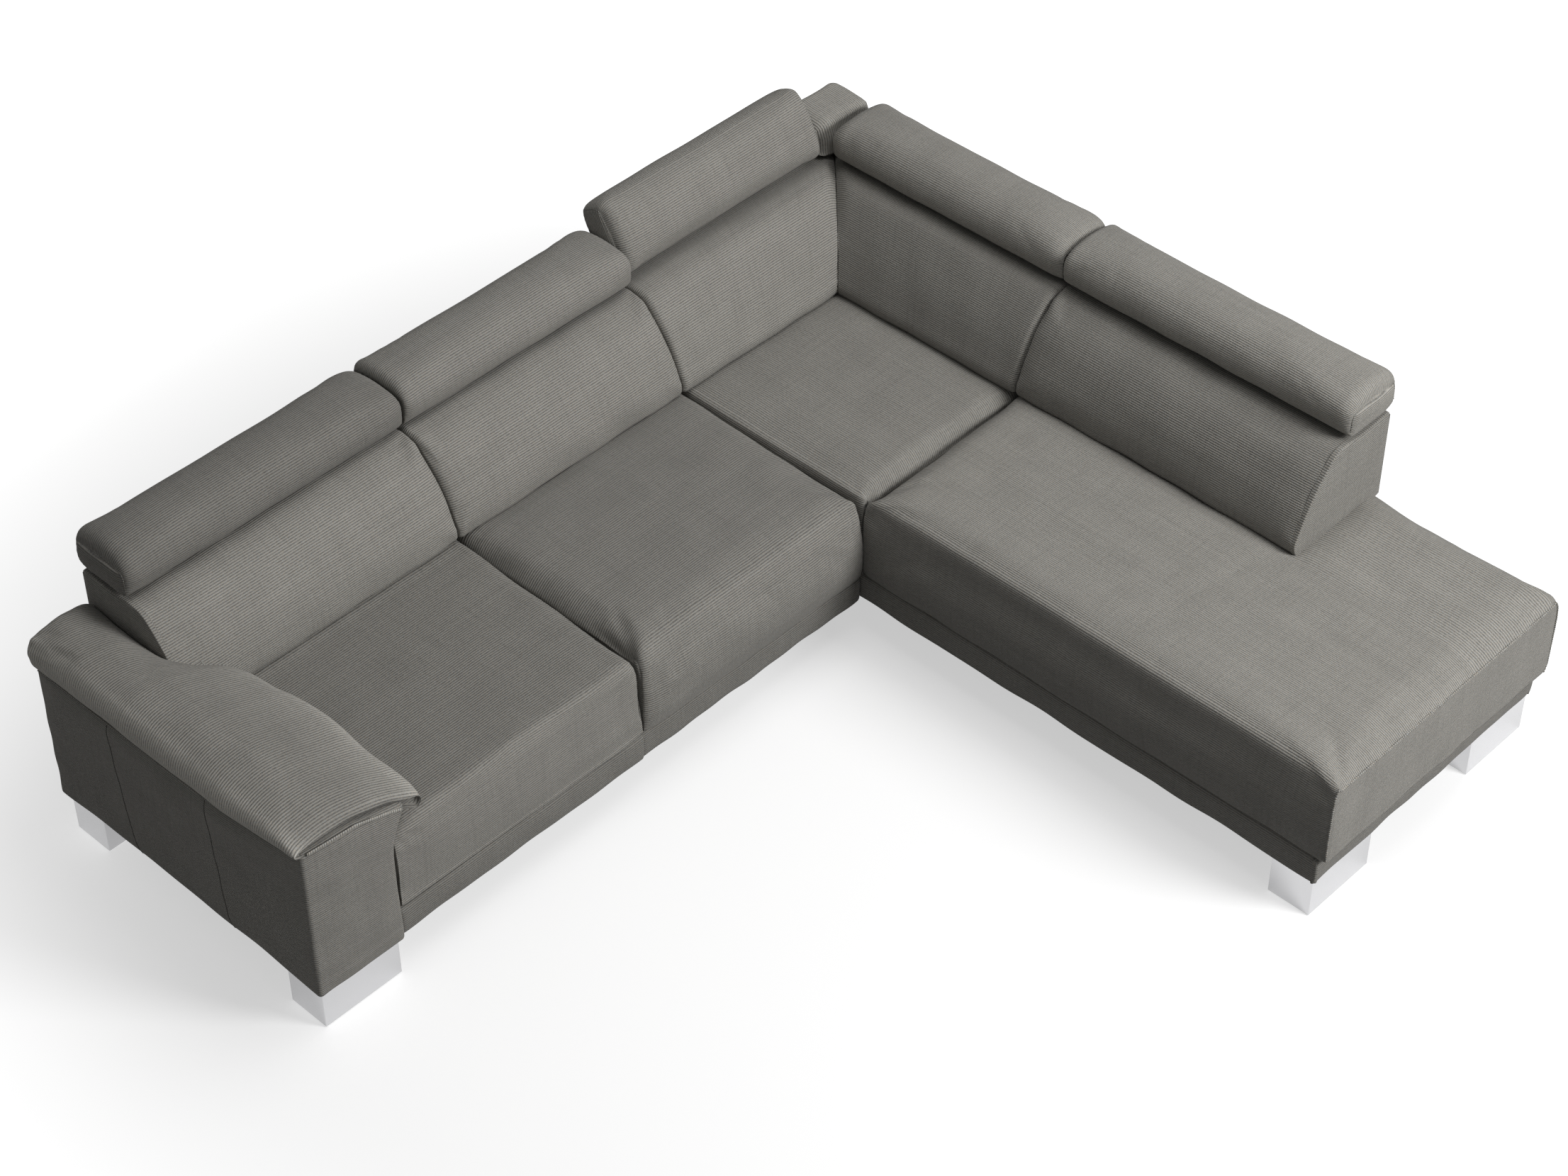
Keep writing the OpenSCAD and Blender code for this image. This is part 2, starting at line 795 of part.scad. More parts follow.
module bolt_holes() {
    for (y = bolt_y()) rod(module_grip() + [-1, 1], y, bolt_z, bolt_d / 2 + 0.05);
    for (y = arm_bolt_y()) rod(arm_grip() + [-1, 1], y, bolt_z, bolt_d / 2 + 0.05);
}

module bolt(grip, y) {
    nut = 0.8 * bolt_d;
    rod([grip[0], grip[1] + nut + 2], y, bolt_z, bolt_d / 2);
    rod([grip[0] - 0.6 * bolt_d, grip[0]], y, bolt_z, bolt_d);
    difference() {
        rod([grip[1], grip[1] + nut], y, bolt_z, 0.9 * bolt_d);
        rod([grip[1] - 1, grip[1] + nut + 1], y, bolt_z, bolt_d / 2 + 0.05);
    }
}

module frame_bolts() {
    color(steel) on_sofa() {
        for (y = bolt_y()) bolt(module_grip(), y);
        for (y = arm_bolt_y()) bolt(arm_grip(), y);
    }
}

// Headrests

function hinge_places(s) = [s[0] + hinge_inset, s[1] - hinge_inset];

// Depth of the middle of a bracket's arm at height z
function arm_t(z) = hinge_t - (hinge_z - z) / tan(arm_angle);

module at_hinge() {
    translate([hinge_t, hinge_z]) children();
}

// A toothed lug on an arm that rises from the top rail of a back
module bracket(x) {
    h = lug_t / 2;
    difference() {
        union() {
            along(x - h, x + h) {
                polygon([[arm_t(foot_z) - arm_half, foot_z], [arm_t(foot_z) + arm_half, foot_z],
                         [hinge_t + arm_half, hinge_z], [hinge_t - arm_half, hinge_z]]);
                at_hinge() {
                    circle(lug_r);
                    for (a = [-40 : tooth_step : 128]) rotate(a)
                        polygon([[lug_r - 1, -2], [lug_r + tooth_h, 0], [lug_r - 1, 2]]);
                }
            }
            bar([x - bracket_w / 2, x + bracket_w / 2], [-t_web + bracket_edge, -t_frame - bracket_edge],
                [foot_z, foot_z + lug_t]);
        }
        rod([x - h - 1, x + h + 1], -hinge_t, hinge_z, pin_r + pin_fit);
    }
}

module left_headrest_brackets() {
    color(steel) on_sofa() for (s = [left_span, middle_span, corner_span], x = hinge_places(s)) bracket(x);
}

module right_headrest_brackets() {
    color(steel) on_sofa() chaise_wing()
        for (s = [corner_right_span, chaise_span], x = hinge_places(s)) bracket(x);
}

module pin(x) {
    e = ear_y + ear_t + fit;
    rod([x - e, x + e], -hinge_t, hinge_z, pin_r);
    for (x0 = [x - e - head_t, x + e]) rod([x0, x0 + head_t], -hinge_t, hinge_z, head_r);
}

module hinge_pins() {
    color(steel) on_sofa() {
        for (s = [left_span, middle_span, corner_span], x = hinge_places(s)) pin(x);
        chaise_wing() for (s = [corner_right_span, chaise_span], x = hinge_places(s)) pin(x);
    }
}

// Section of a lowered headrest; its nose follows a circle round the hinge
module head_section() {
    rr = 20;
    rf = 30;
    rb = 34;
    a0 = asin((hinge_z - head_bottom) / swing_r);
    a1 = acos((head_front - hinge_t) / swing_r);
    polygon(concat(
        arc([rr - head_rear, head_bottom + rr], rr, 180, 270, 5),
        arc([hinge_t, hinge_z], swing_r, -a0, -a1, 6),
        arc([head_front - rf, head_top - rf], rf, 0, 90),
        arc([rb - head_rear, head_top - rb], rb, 90, 180)));
}

// Space that a bracket's arm sweeps through inside a headrest
module arm_sweep() {
    reach = 2 * swing_r;
    half = arm_half + 1;
    d = 180 + arm_angle;
    at_hinge() {
        for (a = [0, raise_angle]) rotate(a + d) translate([0, -half]) square([reach, 2 * half]);
        polygon([[0, 0], reach * [cos(d), sin(d)],
                 1.2 * reach * [cos(d + raise_angle / 2), sin(d + raise_angle / 2)],
                 reach * [cos(d + raise_angle), sin(d + raise_angle)]]);
    }
}

module head_cushion(s) {
    pocket = [leaf_rear - fit, hinge_t + lug_r + tooth_h + 2];
    half = leaf_w / 2 + fit;
    difference() {
        along(s[0], s[1]) head_section();
        bar([s[0] + board_inset - fit, s[1] - board_inset + fit],
            [-board_front - fit, -board_rear + fit], [board_z - fit, board_z + board_t + fit]);
        for (x = hinge_places(s)) {
            along(x - slot_w / 2, x + slot_w / 2) arm_sweep();
            bar([x - half, x + half], [-pocket[1], -pocket[0]],
                [board_z + board_t, hinge_z + lug_r + tooth_h + 1]);
        }
    }
}

module head_board(s) {
    bar([s[0] + board_inset, s[1] - board_inset], [-board_front, -board_rear],
        [board_z, board_z + board_t]);
}

module head_leaves(s) {
    z0 = board_z + board_t;
    pin_place = [hinge_t, hinge_z];
    side = (ear_r - 1) * [cos(ear_lean), -sin(ear_lean)];
    for (x = hinge_places(s)) difference() {
        union() {
            bar([x - leaf_w / 2, x + leaf_w / 2], [-board_front, -leaf_rear], [z0, z0 + flange_t]);
            for (x0 = [x - ear_y - ear_t, x + ear_y]) along(x0, x0 + ear_t) {
                at_hinge() circle(ear_r);
                polygon([[leaf_rear, z0], [board_front, z0], pin_place + side, pin_place - side,
                         [leaf_rear, z0 + board_t]]);
            }
        }
        rod([x - leaf_w, x + leaf_w], -hinge_t, hinge_z, pin_r + pin_fit);
    }
}

// The corner headrest of the long wing stands raised
module raised() {
    translate([0, -hinge_t, hinge_z]) rotate([raise_angle, 0, 0]) translate([0, hinge_t, -hinge_z])
        children();
}

module left_headrest_cushion() {
    color(fabric) on_sofa() head_cushion(left_span);
}

module left_headrest_board() {
    color(timber) on_sofa() head_board(left_span);
}

module left_headrest_leaves() {
    color(steel) on_sofa() head_leaves(left_span);
}

module middle_headrest_cushion() {
    color(fabric) on_sofa() head_cushion(middle_span);
}

module middle_headrest_board() {
    color(timber) on_sofa() head_board(middle_span);
}

module middle_headrest_leaves() {
    color(steel) on_sofa() head_leaves(middle_span);
}

module corner_left_headrest_cushion() {
    color(fabric) on_sofa() raised() head_cushion(corner_span);
}

module corner_left_headrest_board() {
    color(timber) on_sofa() raised() head_board(corner_span);
}

module corner_left_headrest_leaves() {
    color(steel) on_sofa() raised() head_leaves(corner_span);
}

module corner_right_headrest_cushion() {
    color(fabric) on_sofa() chaise_wing() head_cushion(corner_right_span);
}

module corner_right_headrest_board() {
    color(timber) on_sofa() chaise_wing() head_board(corner_right_span);
}

module corner_right_headrest_leaves() {
    color(steel) on_sofa() chaise_wing() head_leaves(corner_right_span);
}

module chaise_headrest_cushion() {
    color(fabric) on_sofa() chaise_wing() head_cushion(chaise_span);
}

module chaise_headrest_board() {
    color(timber) on_sofa() chaise_wing() head_board(chaise_span);
}

module chaise_headrest_leaves() {
    color(steel) on_sofa() chaise_wing() head_leaves(chaise_span);
}

left_seat_frame();
right_seat_frame();
left_springs();
right_springs();
left_spring_felt();
right_spring_felt();
left_seat_cushion();
middle_seat_cushion();
corner_seat_cushion();
chaise_cushion();
left_base_border();
middle_base_border();
chaise_base_border();
left_dust_cover();
right_dust_cover();
arm_frame();
arm_cover();
arm_pad();
left_back_frame();
right_back_frame();
left_back_webbing();
right_back_webbing();
left_back_cushion();
middle_back_cushion();
corner_left_back_cushion();
corner_right_back_cushion();
chaise_back_cushion();
left_rear_cover();
right_rear_cover();
left_back_end_panel();
chaise_back_end_panel();
corner_block();
arm_front_foot();
arm_rear_foot();
chaise_left_foot();
chaise_right_foot();
support_feet();
foot_plates();
foot_screws();
glides();
frame_bolts();
left_headrest_brackets();
right_headrest_brackets();
hinge_pins();
left_headrest_cushion();
left_headrest_board();
left_headrest_leaves();
middle_headrest_cushion();
middle_headrest_board();
middle_headrest_leaves();
corner_left_headrest_cushion();
corner_left_headrest_board();
corner_left_headrest_leaves();
corner_right_headrest_cushion();
corner_right_headrest_board();
corner_right_headrest_leaves();
chaise_headrest_cushion();
chaise_headrest_board();
chaise_headrest_leaves();
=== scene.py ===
"""The looks of the corner sofa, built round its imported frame. Metres, +Z up.

Every soft piece is a block of six quad grids: a section in depth and height, swept along its
wing. Cloth simulation crowns it between its seams, then folds, gathers and welts follow."""

import json
import math

import bmesh
import bpy
import numpy as np
from mathutils import Matrix, Vector
from mathutils.bvhtree import BVHTree


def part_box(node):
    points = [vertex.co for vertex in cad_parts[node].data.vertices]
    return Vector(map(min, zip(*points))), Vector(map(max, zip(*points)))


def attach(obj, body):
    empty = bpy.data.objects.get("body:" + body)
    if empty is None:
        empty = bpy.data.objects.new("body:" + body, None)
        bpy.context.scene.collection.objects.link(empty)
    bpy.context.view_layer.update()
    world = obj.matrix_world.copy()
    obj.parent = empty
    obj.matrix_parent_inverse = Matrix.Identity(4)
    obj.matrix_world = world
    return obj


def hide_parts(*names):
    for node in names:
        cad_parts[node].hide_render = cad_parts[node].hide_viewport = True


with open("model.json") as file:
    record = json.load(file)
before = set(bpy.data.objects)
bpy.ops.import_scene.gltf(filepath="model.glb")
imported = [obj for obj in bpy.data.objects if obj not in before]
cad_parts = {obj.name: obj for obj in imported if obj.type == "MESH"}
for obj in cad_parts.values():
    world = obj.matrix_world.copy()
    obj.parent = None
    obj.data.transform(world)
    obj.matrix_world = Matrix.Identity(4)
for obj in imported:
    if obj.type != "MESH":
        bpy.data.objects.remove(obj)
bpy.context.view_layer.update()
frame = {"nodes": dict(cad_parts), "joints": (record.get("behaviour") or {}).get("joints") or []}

# Places that the pieces share, read from the frame. A depth t runs from a wing's rear forwards.
LEFT_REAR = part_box("left_rear_cover")
CORNER_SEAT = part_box("corner_seat_cushion")
REAR_Y = LEFT_REAR[1].y
REAR_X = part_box("right_rear_cover")[1].x
BASE_Z = LEFT_REAR[0].z
BACK_Z = LEFT_REAR[1].z
SEAT_Z = CORNER_SEAT[1].z
FOAM_Z = CORNER_SEAT[0].z
BORDER_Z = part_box("left_base_border")[1].z
INNER_T = REAR_Y - CORNER_SEAT[1].y

# Depth to which the back cushions cover the seats, and to which the simulation holds these
COVERED_T = 0.290
HELD_T = 0.300

# Camera of the photograph: image size in pixels, focal length in pixels, place and angles
IMAGE_W = 2212
FOCAL_PX = 4768.2
SENSOR_MM = 36
CAMERA_PLACE = (-3.9875, -3.757, 5.6005)
CAMERA_YAW = 43.83
CAMERA_PITCH = 42.51
CAMERA_ROLL = -0.30

# Cloth simulation
CLOTH_FRAMES = 20
CLOTH = {"quality": 5, "mass": 0.3, "tension_stiffness": 15, "compression_stiffness": 15,
         "shear_stiffness": 5, "bending_stiffness": 0.5, "use_pressure": True,
         "uniform_pressure_force": 4.0, "vertex_group_mass": "held"}
CAP_SHARE = 0.35

# Fabric: spacing of its ribs, its colour on them, and its colour between them, darkened there with
# painted shade for the grooves
RIB_PITCH = 0.0061
RIB_COLOUR = (0.292, 0.281, 0.257)
GROOVE_SHADE_COLOUR = (0.124, 0.120, 0.111)

# How far the padded rear covers stand out behind the frames, and how far the backs' tops are
# sunk at their rear and at the headrests' hinges
REAR_PROUD = 0.014
SUNK = 0.007
HINGE_T = 0.112

# How much of an end's rounding the top, front, bottom and rear of a block take
EVEN = (1.0, 1.0, 1.0, 1.0)


# Curves and sections

def smooth(points, n):
    """n + 1 even points on a Catmull-Rom curve through the given ones."""
    p = np.array(points, float)
    p = np.vstack([2 * p[0] - p[1], p, 2 * p[-1] - p[-2]])
    fine = []
    for a, b, c, d in zip(p, p[1:], p[2:], p[3:]):
        for u in np.linspace(0, 1, 24, endpoint=False):
            fine.append(0.5 * (2 * b + (c - a) * u + (2 * a - 5 * b + 4 * c - d) * u * u
                               + (3 * b - a - 3 * c + d) * u ** 3))
    return even(fine + [p[-2]], n)


def even(points, n):
    """n + 1 even points along a polyline."""
    p = np.array(points, float)
    run = np.concatenate([[0], np.cumsum(np.linalg.norm(np.diff(p, axis=0), axis=1))])
    at = np.linspace(0, run[-1], n + 1)
    return np.stack([np.interp(at, run, p[:, i]) for i in range(p.shape[1])], 1)


def arc(centre, radius, start, stop, n=8):
    """Points of an arc, angles in degrees."""
    angles = np.radians(np.linspace(start, stop, n + 1))
    return [(centre[0] + radius * math.cos(a), centre[1] + radius * math.sin(a)) for a in angles]


def joined(*runs):
    """One side of a section from several runs of points that meet."""
    return np.vstack([np.array(run, float)[min(i, 1):] for i, run in enumerate(runs)])


def legs(*stops):
    """A side of straight legs: its points, with the number of spans between each two."""
    return joined(*[even(stops[k:k + 3:2], stops[k + 1]) for k in range(0, len(stops) - 1, 2)])


def closed(upper, front, lower, n):
    """A section from three of its sides, closed by a straight rear."""
    return [upper, front, lower, even([lower[-1], upper[0]], n)]


def coons(top, front, bottom, rear):
    """The inner points of a section, as a grid between its four sides."""
    a, b, c, d = top, front, bottom[::-1], rear[::-1]
    u = np.linspace(0, 1, len(a))[:, None, None]
    v = np.linspace(0, 1, len(b))[None, :, None]
    grid = ((1 - v) * a[:, None] + v * c[:, None] + (1 - u) * d[None] + u * b[None]
            - ((1 - u) * (1 - v) * a[0] + u * (1 - v) * a[-1] + (1 - u) * v * c[0] + u * v * c[-1]))
    return grid[1:-1, 1:-1]


def ring_of(sides):
    return np.vstack([side[:-1] for side in sides])


def ring_normals(ring):
    step = np.roll(ring, -1, 0) - np.roll(ring, 1, 0)
    normal = np.stack([-step[:, 1], step[:, 0]], 1)
    return normal / np.maximum(np.linalg.norm(normal, axis=1), 1e-9)[:, None]


# Directions of the sofa's parts: (along, depth, height) to the row frame

def long_wing(p):
    return np.stack([p[:, 0], REAR_Y - p[:, 1], p[:, 2]], 1)


def chaise_wing(p):
    return np.stack([REAR_X - p[:, 1], p[:, 0], p[:, 2]], 1)


def along_y(p):
    return p[:, [1, 0, 2]]


WINGS = (long_wing, chaise_wing)


# Meshes

def fetch(items, key, width=3, kind=np.float32):
    """One property of all vertices, edges or corners."""
    out = np.empty(len(items) * width, kind)
    items.foreach_get(key, out)
    return out.reshape(-1, width).astype(float)


def store(items, key, values):
    items.foreach_set(key, np.asarray(values, np.float32).ravel())


def tube(rows, n):
    """Quads between rows of n points each, closed round every row."""
    i, j = np.mgrid[:rows - 1, :n]
    k = (j + 1) % n
    return np.stack([i * n + j, i * n + k, (i + 1) * n + k, (i + 1) * n + j], 2).reshape(-1, 4)


def new_piece(name, points, faces, coords):
    """A piece of cloth, with the place of each face corner along and across the ribs."""
    mesh = bpy.data.meshes.new(name)
    mesh.from_pydata(points.tolist(), [], faces)
    store(mesh.uv_layers.new(name="weave").data, "uv", coords)
    bm = bmesh.new()
    bm.from_mesh(mesh)
    bmesh.ops.recalc_face_normals(bm, faces=bm.faces)
    bm.to_mesh(mesh)
    bm.free()
    piece = bpy.data.objects.new(name, mesh)
    bpy.context.scene.collection.objects.link(piece)
    return piece


def finished(mesh, nap):
    """Shades a mesh smoothly and gives it the tone of its painted light and shade, which the
    material reads.
    """
    mesh.polygons.foreach_set("use_smooth", [True] * len(mesh.polygons))
    layer = mesh.attributes.new("nap", "FLOAT", "POINT")
    store(layer.data, "value", np.broadcast_to(nap, len(mesh.vertices)))


pillows = []

# What a pillow is unless it says otherwise. pins are the sides that its simulation holds, free
# the ends where it holds the cap and not the seam, also what else it holds, cap the most that a
# point moves in it, and walls (axis, low, high) that it stays between. Its painted light is the
# tone of light and shade painted on it, pitch is that of its ribs, swing a hinge and its axis, and
# welts are (end, radius, sides, tone of painted light and shade).
PILLOW = {"body": "root", "slot": "cord_upholstery", "pins": (), "free": (), "also": False,
          "cap": 0.012, "fill": 0.7, "nap": 1.0, "walls": (), "relief": None, "crease": 0.0,
          "uneven": 0.0012, "pitch": RIB_PITCH, "swing": None, "welts": ()}


class Pillow:
    """A block of six grids that stands for a CAD node: four sides swept along, and two caps.

    sides is its section, or gives it at each place along. ends is the length over which each
    end rounds off, soften what each side takes of it, dome how far each cap bulges, and tuck
    the angle by which each end rolls on under itself, with or without a straight length after
    it."""

    def __init__(self, name, node, sides, start, stop, step, place, ends=(0.02, 0.02),
                 around=False, stations=None, soften=(EVEN, EVEN), dome=(0.0, 0.0), tuck=(0, 0),
                 **settings):
        sides_at = sides if callable(sides) else lambda a: sides
        at, inset = stations or self.stations(start, stop, step, ends, tuck)
        self.counts = [len(side) - 1 for side in sides_at(at[0])]
        self.rows = len(at)
        self.ring_n = sum(self.counts)
        weights = [self.weights(shares) for shares in soften]
        rings = []
        for i, (a, d) in enumerate(zip(at, inset)):
            ring = ring_of(sides_at(a))
            drawn = d * weights[0 if i < self.rows // 2 else 1]
            ring = ring - drawn[:, None] * ring_normals(ring)
            rings.append(np.column_stack([np.full(self.ring_n, a), ring]))
        caps = [self.cap_points(rings[k], dome[k] * (1 if k else -1)) for k in (0, -1)]
        self.local = np.vstack(rings + caps)
        self.rest = place(self.local)
        self.side = np.concatenate([np.tile(np.repeat(np.arange(4), self.counts), self.rows),
                                    np.full(2 * len(caps[0]), 4)])
        self.seams = [np.arange(self.ring_n) + row * self.ring_n for row in (0, self.rows - 1)]
        faces, coords = self.skin(rings, ring_of(sides_at(at[self.rows // 2])), around)
        self.object = new_piece(name, self.rest, faces.tolist(), coords)
        vars(self).update({**PILLOW, **settings}, name=name, node=node, number=len(pillows))
        pillows.append(self)

    def weights(self, shares):
        """The share of each ring point, eased over the corners."""
        w = np.repeat(np.array(shares, float), self.counts)
        for _ in range(2):
            w = sum(np.roll(w, k) for k in (2, 1, 0, -1, -2)) / 5
        return w

    def cap_points(self, ring, bulge):
        """Inner points of an end cap."""
        nu, nv = self.counts[:2]
        corner = np.cumsum([0] + self.counts)
        flat = np.vstack([ring[:, 1:], ring[:1, 1:]])
        grid = coons(*[flat[corner[i]:corner[i + 1] + 1] for i in range(4)])
        u = np.linspace(0, 1, nu + 1)[1:-1, None]
        v = np.linspace(0, 1, nv + 1)[None, 1:-1]
        out = ring[0, 0] + bulge * np.sqrt(16 * u * (1 - u) * v * (1 - v))
        return np.concatenate([out[..., None], grid], 2).reshape(-1, 3)

    def skin(self, rings, full, around):
        """Faces, and for each of their corners a place along and across the ribs."""
        nu, nv = self.counts[:2]
        n, middle = self.ring_n, self.rows // 2
        run = np.concatenate([[0], np.cumsum(np.linalg.norm(np.roll(full, -1, 0) - full, axis=1))])
        rings = np.array(rings)
        steps = np.cumsum(np.linalg.norm(np.diff(rings, axis=0), axis=2), axis=0)
        walk = np.vstack([np.zeros((1, n)), steps])
        walk += rings[middle, 0, 0] - walk[middle]
        i, j = np.mgrid[:self.rows - 1, :n]
        k = (j + 1) % n
        coords = np.stack([walk[i, j], run[j], walk[i, k], run[j + 1],
                           walk[i + 1, k], run[j + 1], walk[i + 1, j], run[j]], 2).reshape(-1, 4, 2)
        faces = [tube(self.rows, n)]
        coords = [coords[..., ::-1] if around else coords]
        inner = (nu - 1) * (nv - 1)
        for k, row in enumerate((0, self.rows - 1)):
            index = np.empty((nu + 1, nv + 1), int)
            index[1:-1, 1:-1] = (self.rows * n + k * inner
                                 + np.arange(inner).reshape(nu - 1, nv - 1))
            first = row * n
            index[:, 0] = first + np.arange(nu + 1)
            index[-1, :] = first + nu + np.arange(nv + 1)
            index[:, -1] = first + nu + nv + np.arange(nu + 1)[::-1]
            index[0, :] = first + (2 * nu + nv + np.arange(nv + 1)[::-1]) % n
            quads = np.stack([index[:-1, :-1], index[1:, :-1], index[1:, 1:], index[:-1, 1:]], 2)
            faces.append(quads.reshape(-1, 4))
            coords.append(self.local[faces[-1], 1:])
        return np.vstack(faces), np.vstack(coords)

    @staticmethod
    def stations(start, stop, step, ends, tuck=(0, 0), n=5):
        """Places along the block, and how far the section is drawn in at each."""
        runs = []
        for radius, tucked in zip(ends, tuck):
            under, length = tucked if isinstance(tucked, tuple) else (tucked, 0)
            turn = math.radians(under)
            angles = [-turn, -turn / 2] if under else []
            angles += [math.pi / 2 * k / n for k in range(n)]
            run = [(radius * (1 - math.cos(a)), radius * (1 - math.sin(a))) for a in angles]
            a, d = run[0]
            straight = [(a + share * length * math.sin(turn), d + share * length * math.cos(turn))
                        for share in (1, 0.5) if length]
            runs.append(straight + run)
        spans = max(2, round((stop - start - sum(ends)) / step))
        middle = np.linspace(start + ends[0], stop - ends[1], spans + 1)
        first, last = runs[0], runs[1][::-1]
        at = [start + a for a, _ in first] + list(middle) + [stop - a for a, _ in last]
        return at, [d for _, d in first] + [0] * len(middle) + [d for _, d in last]

    def move(self, rest):
        """Sets every vertex anew."""
        self.rest = rest
        store(self.object.data.vertices, "co", rest)
        self.object.data.update()

    def held(self):
        """Vertices that the simulation holds. A free end keeps its edge full."""
        held = np.isin(self.side, self.pins) | self.also
        caps = np.flatnonzero(self.side == 4).reshape(2, -1)
        for end, seam in enumerate(self.seams):
            held[caps[end] if end in self.free else seam] = True
        return held


# Small forms on the finished cloth: each gives metres along the normal at local places

def unevenness(p, size, seed):
    """The soft unevenness of filled cloth."""
    rng = np.random.default_rng(seed)
    total = np.zeros(len(p))
    for _ in range(7):
        way = rng.normal(size=3)
        way /= np.linalg.norm(way)
        phase = rng.uniform(0, 2 * math.pi)
        total += np.sin(p @ way * 2 * math.pi / rng.uniform(0.09, 0.24) + phase)
    return size * total / math.sqrt(7)


def corner_folds(p, corner, reach=0.12, size=0.0009, count=11):
    """Small folds that run out from an upper front corner (along, depth, height)."""
    aside = abs(corner[0] - p[:, 0])
    down = (corner[2] - p[:, 2]) - (corner[1] - p[:, 1])
    away = np.hypot(aside, down)
    turn = np.arctan2(down, aside)
    return size * np.sin(turn * count) * np.exp(-((away - 0.5 * reach) / (0.42 * reach)) ** 2)


def gathers(p, places, size=0.0006, length=0.026, reach=0.014):
    """Shallow gathers beside sewn ends at the given places along."""
    wave = 0.5 + 0.5 * np.sin((p[:, 1] - p[:, 2]) * 2 * math.pi / length)
    return sum(-size * wave * np.exp(-abs(p[:, 0] - a) / reach) for a in places)


def gathered(*places, **form):
    """A relief of nothing but gathers."""
    return lambda p: gathers(p, places, **form)


# Seats

def seat_top(corner, n):
    """The top of a seat, from under its back to its rounded front corner."""
    return joined(legs((INNER_T, SEAT_Z), 7, (COVERED_T, SEAT_Z), n, corner[0]), even(corner, 3))


def seat_sides(front_t, r=0.036):
    """Section of a seat cushion with a lip that hangs over the base border."""
    lip, low_z, top = front_t - 0.026, BORDER_Z + 0.001, SEAT_Z
    corner = arc((front_t - r - 0.006, SEAT_Z - r), r, 45, 90)[::-1]
    front = smooth([corner[-1], (front_t - 0.006, top - 0.036), (front_t - 0.001, top - 0.075),
                    (front_t + 0.002, top - 0.140), (front_t + 0.001, low_z + 0.040),
                    (front_t - 0.007, low_z + 0.001)], 18)
    lower = joined(even([front[-1], (lip, low_z), (lip, FOAM_Z)], 8),
                   even([(lip, FOAM_Z), (INNER_T, FOAM_Z)], 36))
    return closed(seat_top(corner, 34), front, lower, 18)


def make_seats():
    painted_shade_tone = 0.82
    # Name, shares and lengths of the two ends' rounding, free ends, and the painted light of the
    # front face, which is lighter than the painted shade of the top
    for name, soften, ends, free, full in (
            ("left", ((1, 0.25, 0.1, 0.2), (1, 0.35, 0.1, 0.2)), (0.032, 0.030), (1,), 1.03),
            ("middle", ((1, 0.40, 0.1, 0.2), (1, 0.50, 0.1, 0.2)), (0.030, 0.015), (0, 1), 0.94)):
        low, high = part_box(name + "_seat_cushion")
        front_t = REAR_Y - low.y
        corners = [(x, front_t, SEAT_Z) for x in ((low.x, high.x) if name == "left" else (high.x,))]

        def relief(p, ends=(low.x, high.x), corners=corners):
            return gathers(p, ends, 0.0004) + sum(corner_folds(p, corner) for corner in corners)

        # Painted light on the front face and painted shade on the top, blended over the front
        # corner
        def painted_light_at(p, front_t=front_t, full=full):
            upper = np.clip((p[:, 1] - front_t + 0.035) / 0.028, 0, 1)
            return painted_shade_tone + (full - painted_shade_tone) * upper

        block = Pillow(name + "_seat_upholstery", name + "_seat_cushion", seat_sides(front_t),
                       low.x - 0.001, high.x + 0.001, 0.013, long_wing, ends=ends, soften=soften,
                       tuck=(25, 25), pins=(2, 3), free=free, nap=painted_light_at, relief=relief,
                       walls=((0, low.x - 0.0015, high.x + 0.0020),), pitch=0.0062)
        block.also = (block.side == 0) & (block.local[:, 1] < HELD_T)
    low, high = CORNER_SEAT
    left_t = REAR_X - low.x
    r = 0.020
    corner = arc((left_t - r, SEAT_Z - r), r, 45, 90)[::-1]
    side = even([corner[-1], (left_t - 0.002, SEAT_Z - r), (left_t, SEAT_Z - 0.06),
                 (left_t, FOAM_Z)], 12)
    lower = even([(left_t, FOAM_Z), (INNER_T, FOAM_Z)], 48)
    block = Pillow("corner_seat_upholstery", "corner_seat_cushion",
                   closed(seat_top(corner, 38), side, lower, 12), low.y - 0.001, high.y, 0.014,
                   chaise_wing, ends=(0.030, 0.010), soften=((1, 0.15, 0.1, 0.2), EVEN),
                   tuck=(20, 0), pins=(1, 2, 3), cap=0.010, nap=0.95, relief=gathered(low.y),
                   walls=((0, low.x - 0.0015, high.x), (1, low.y - 0.0015, high.y)), pitch=0.0060)
    along, depth = block.local[:, 0], block.local[:, 1]
    block.also = (block.side == 0) & ((depth < HELD_T) | (along > REAR_Y - HELD_T))


# The shallow hollow of the chaise seat, from its back's foot: (depth, along) at two places on its
# line, how deep it goes and how wide it is
HOLLOW = ((0.291, -0.609), (0.592, -0.538))
HOLLOW_DEPTH = 0.0030
HOLLOW_WIDTH = 0.038


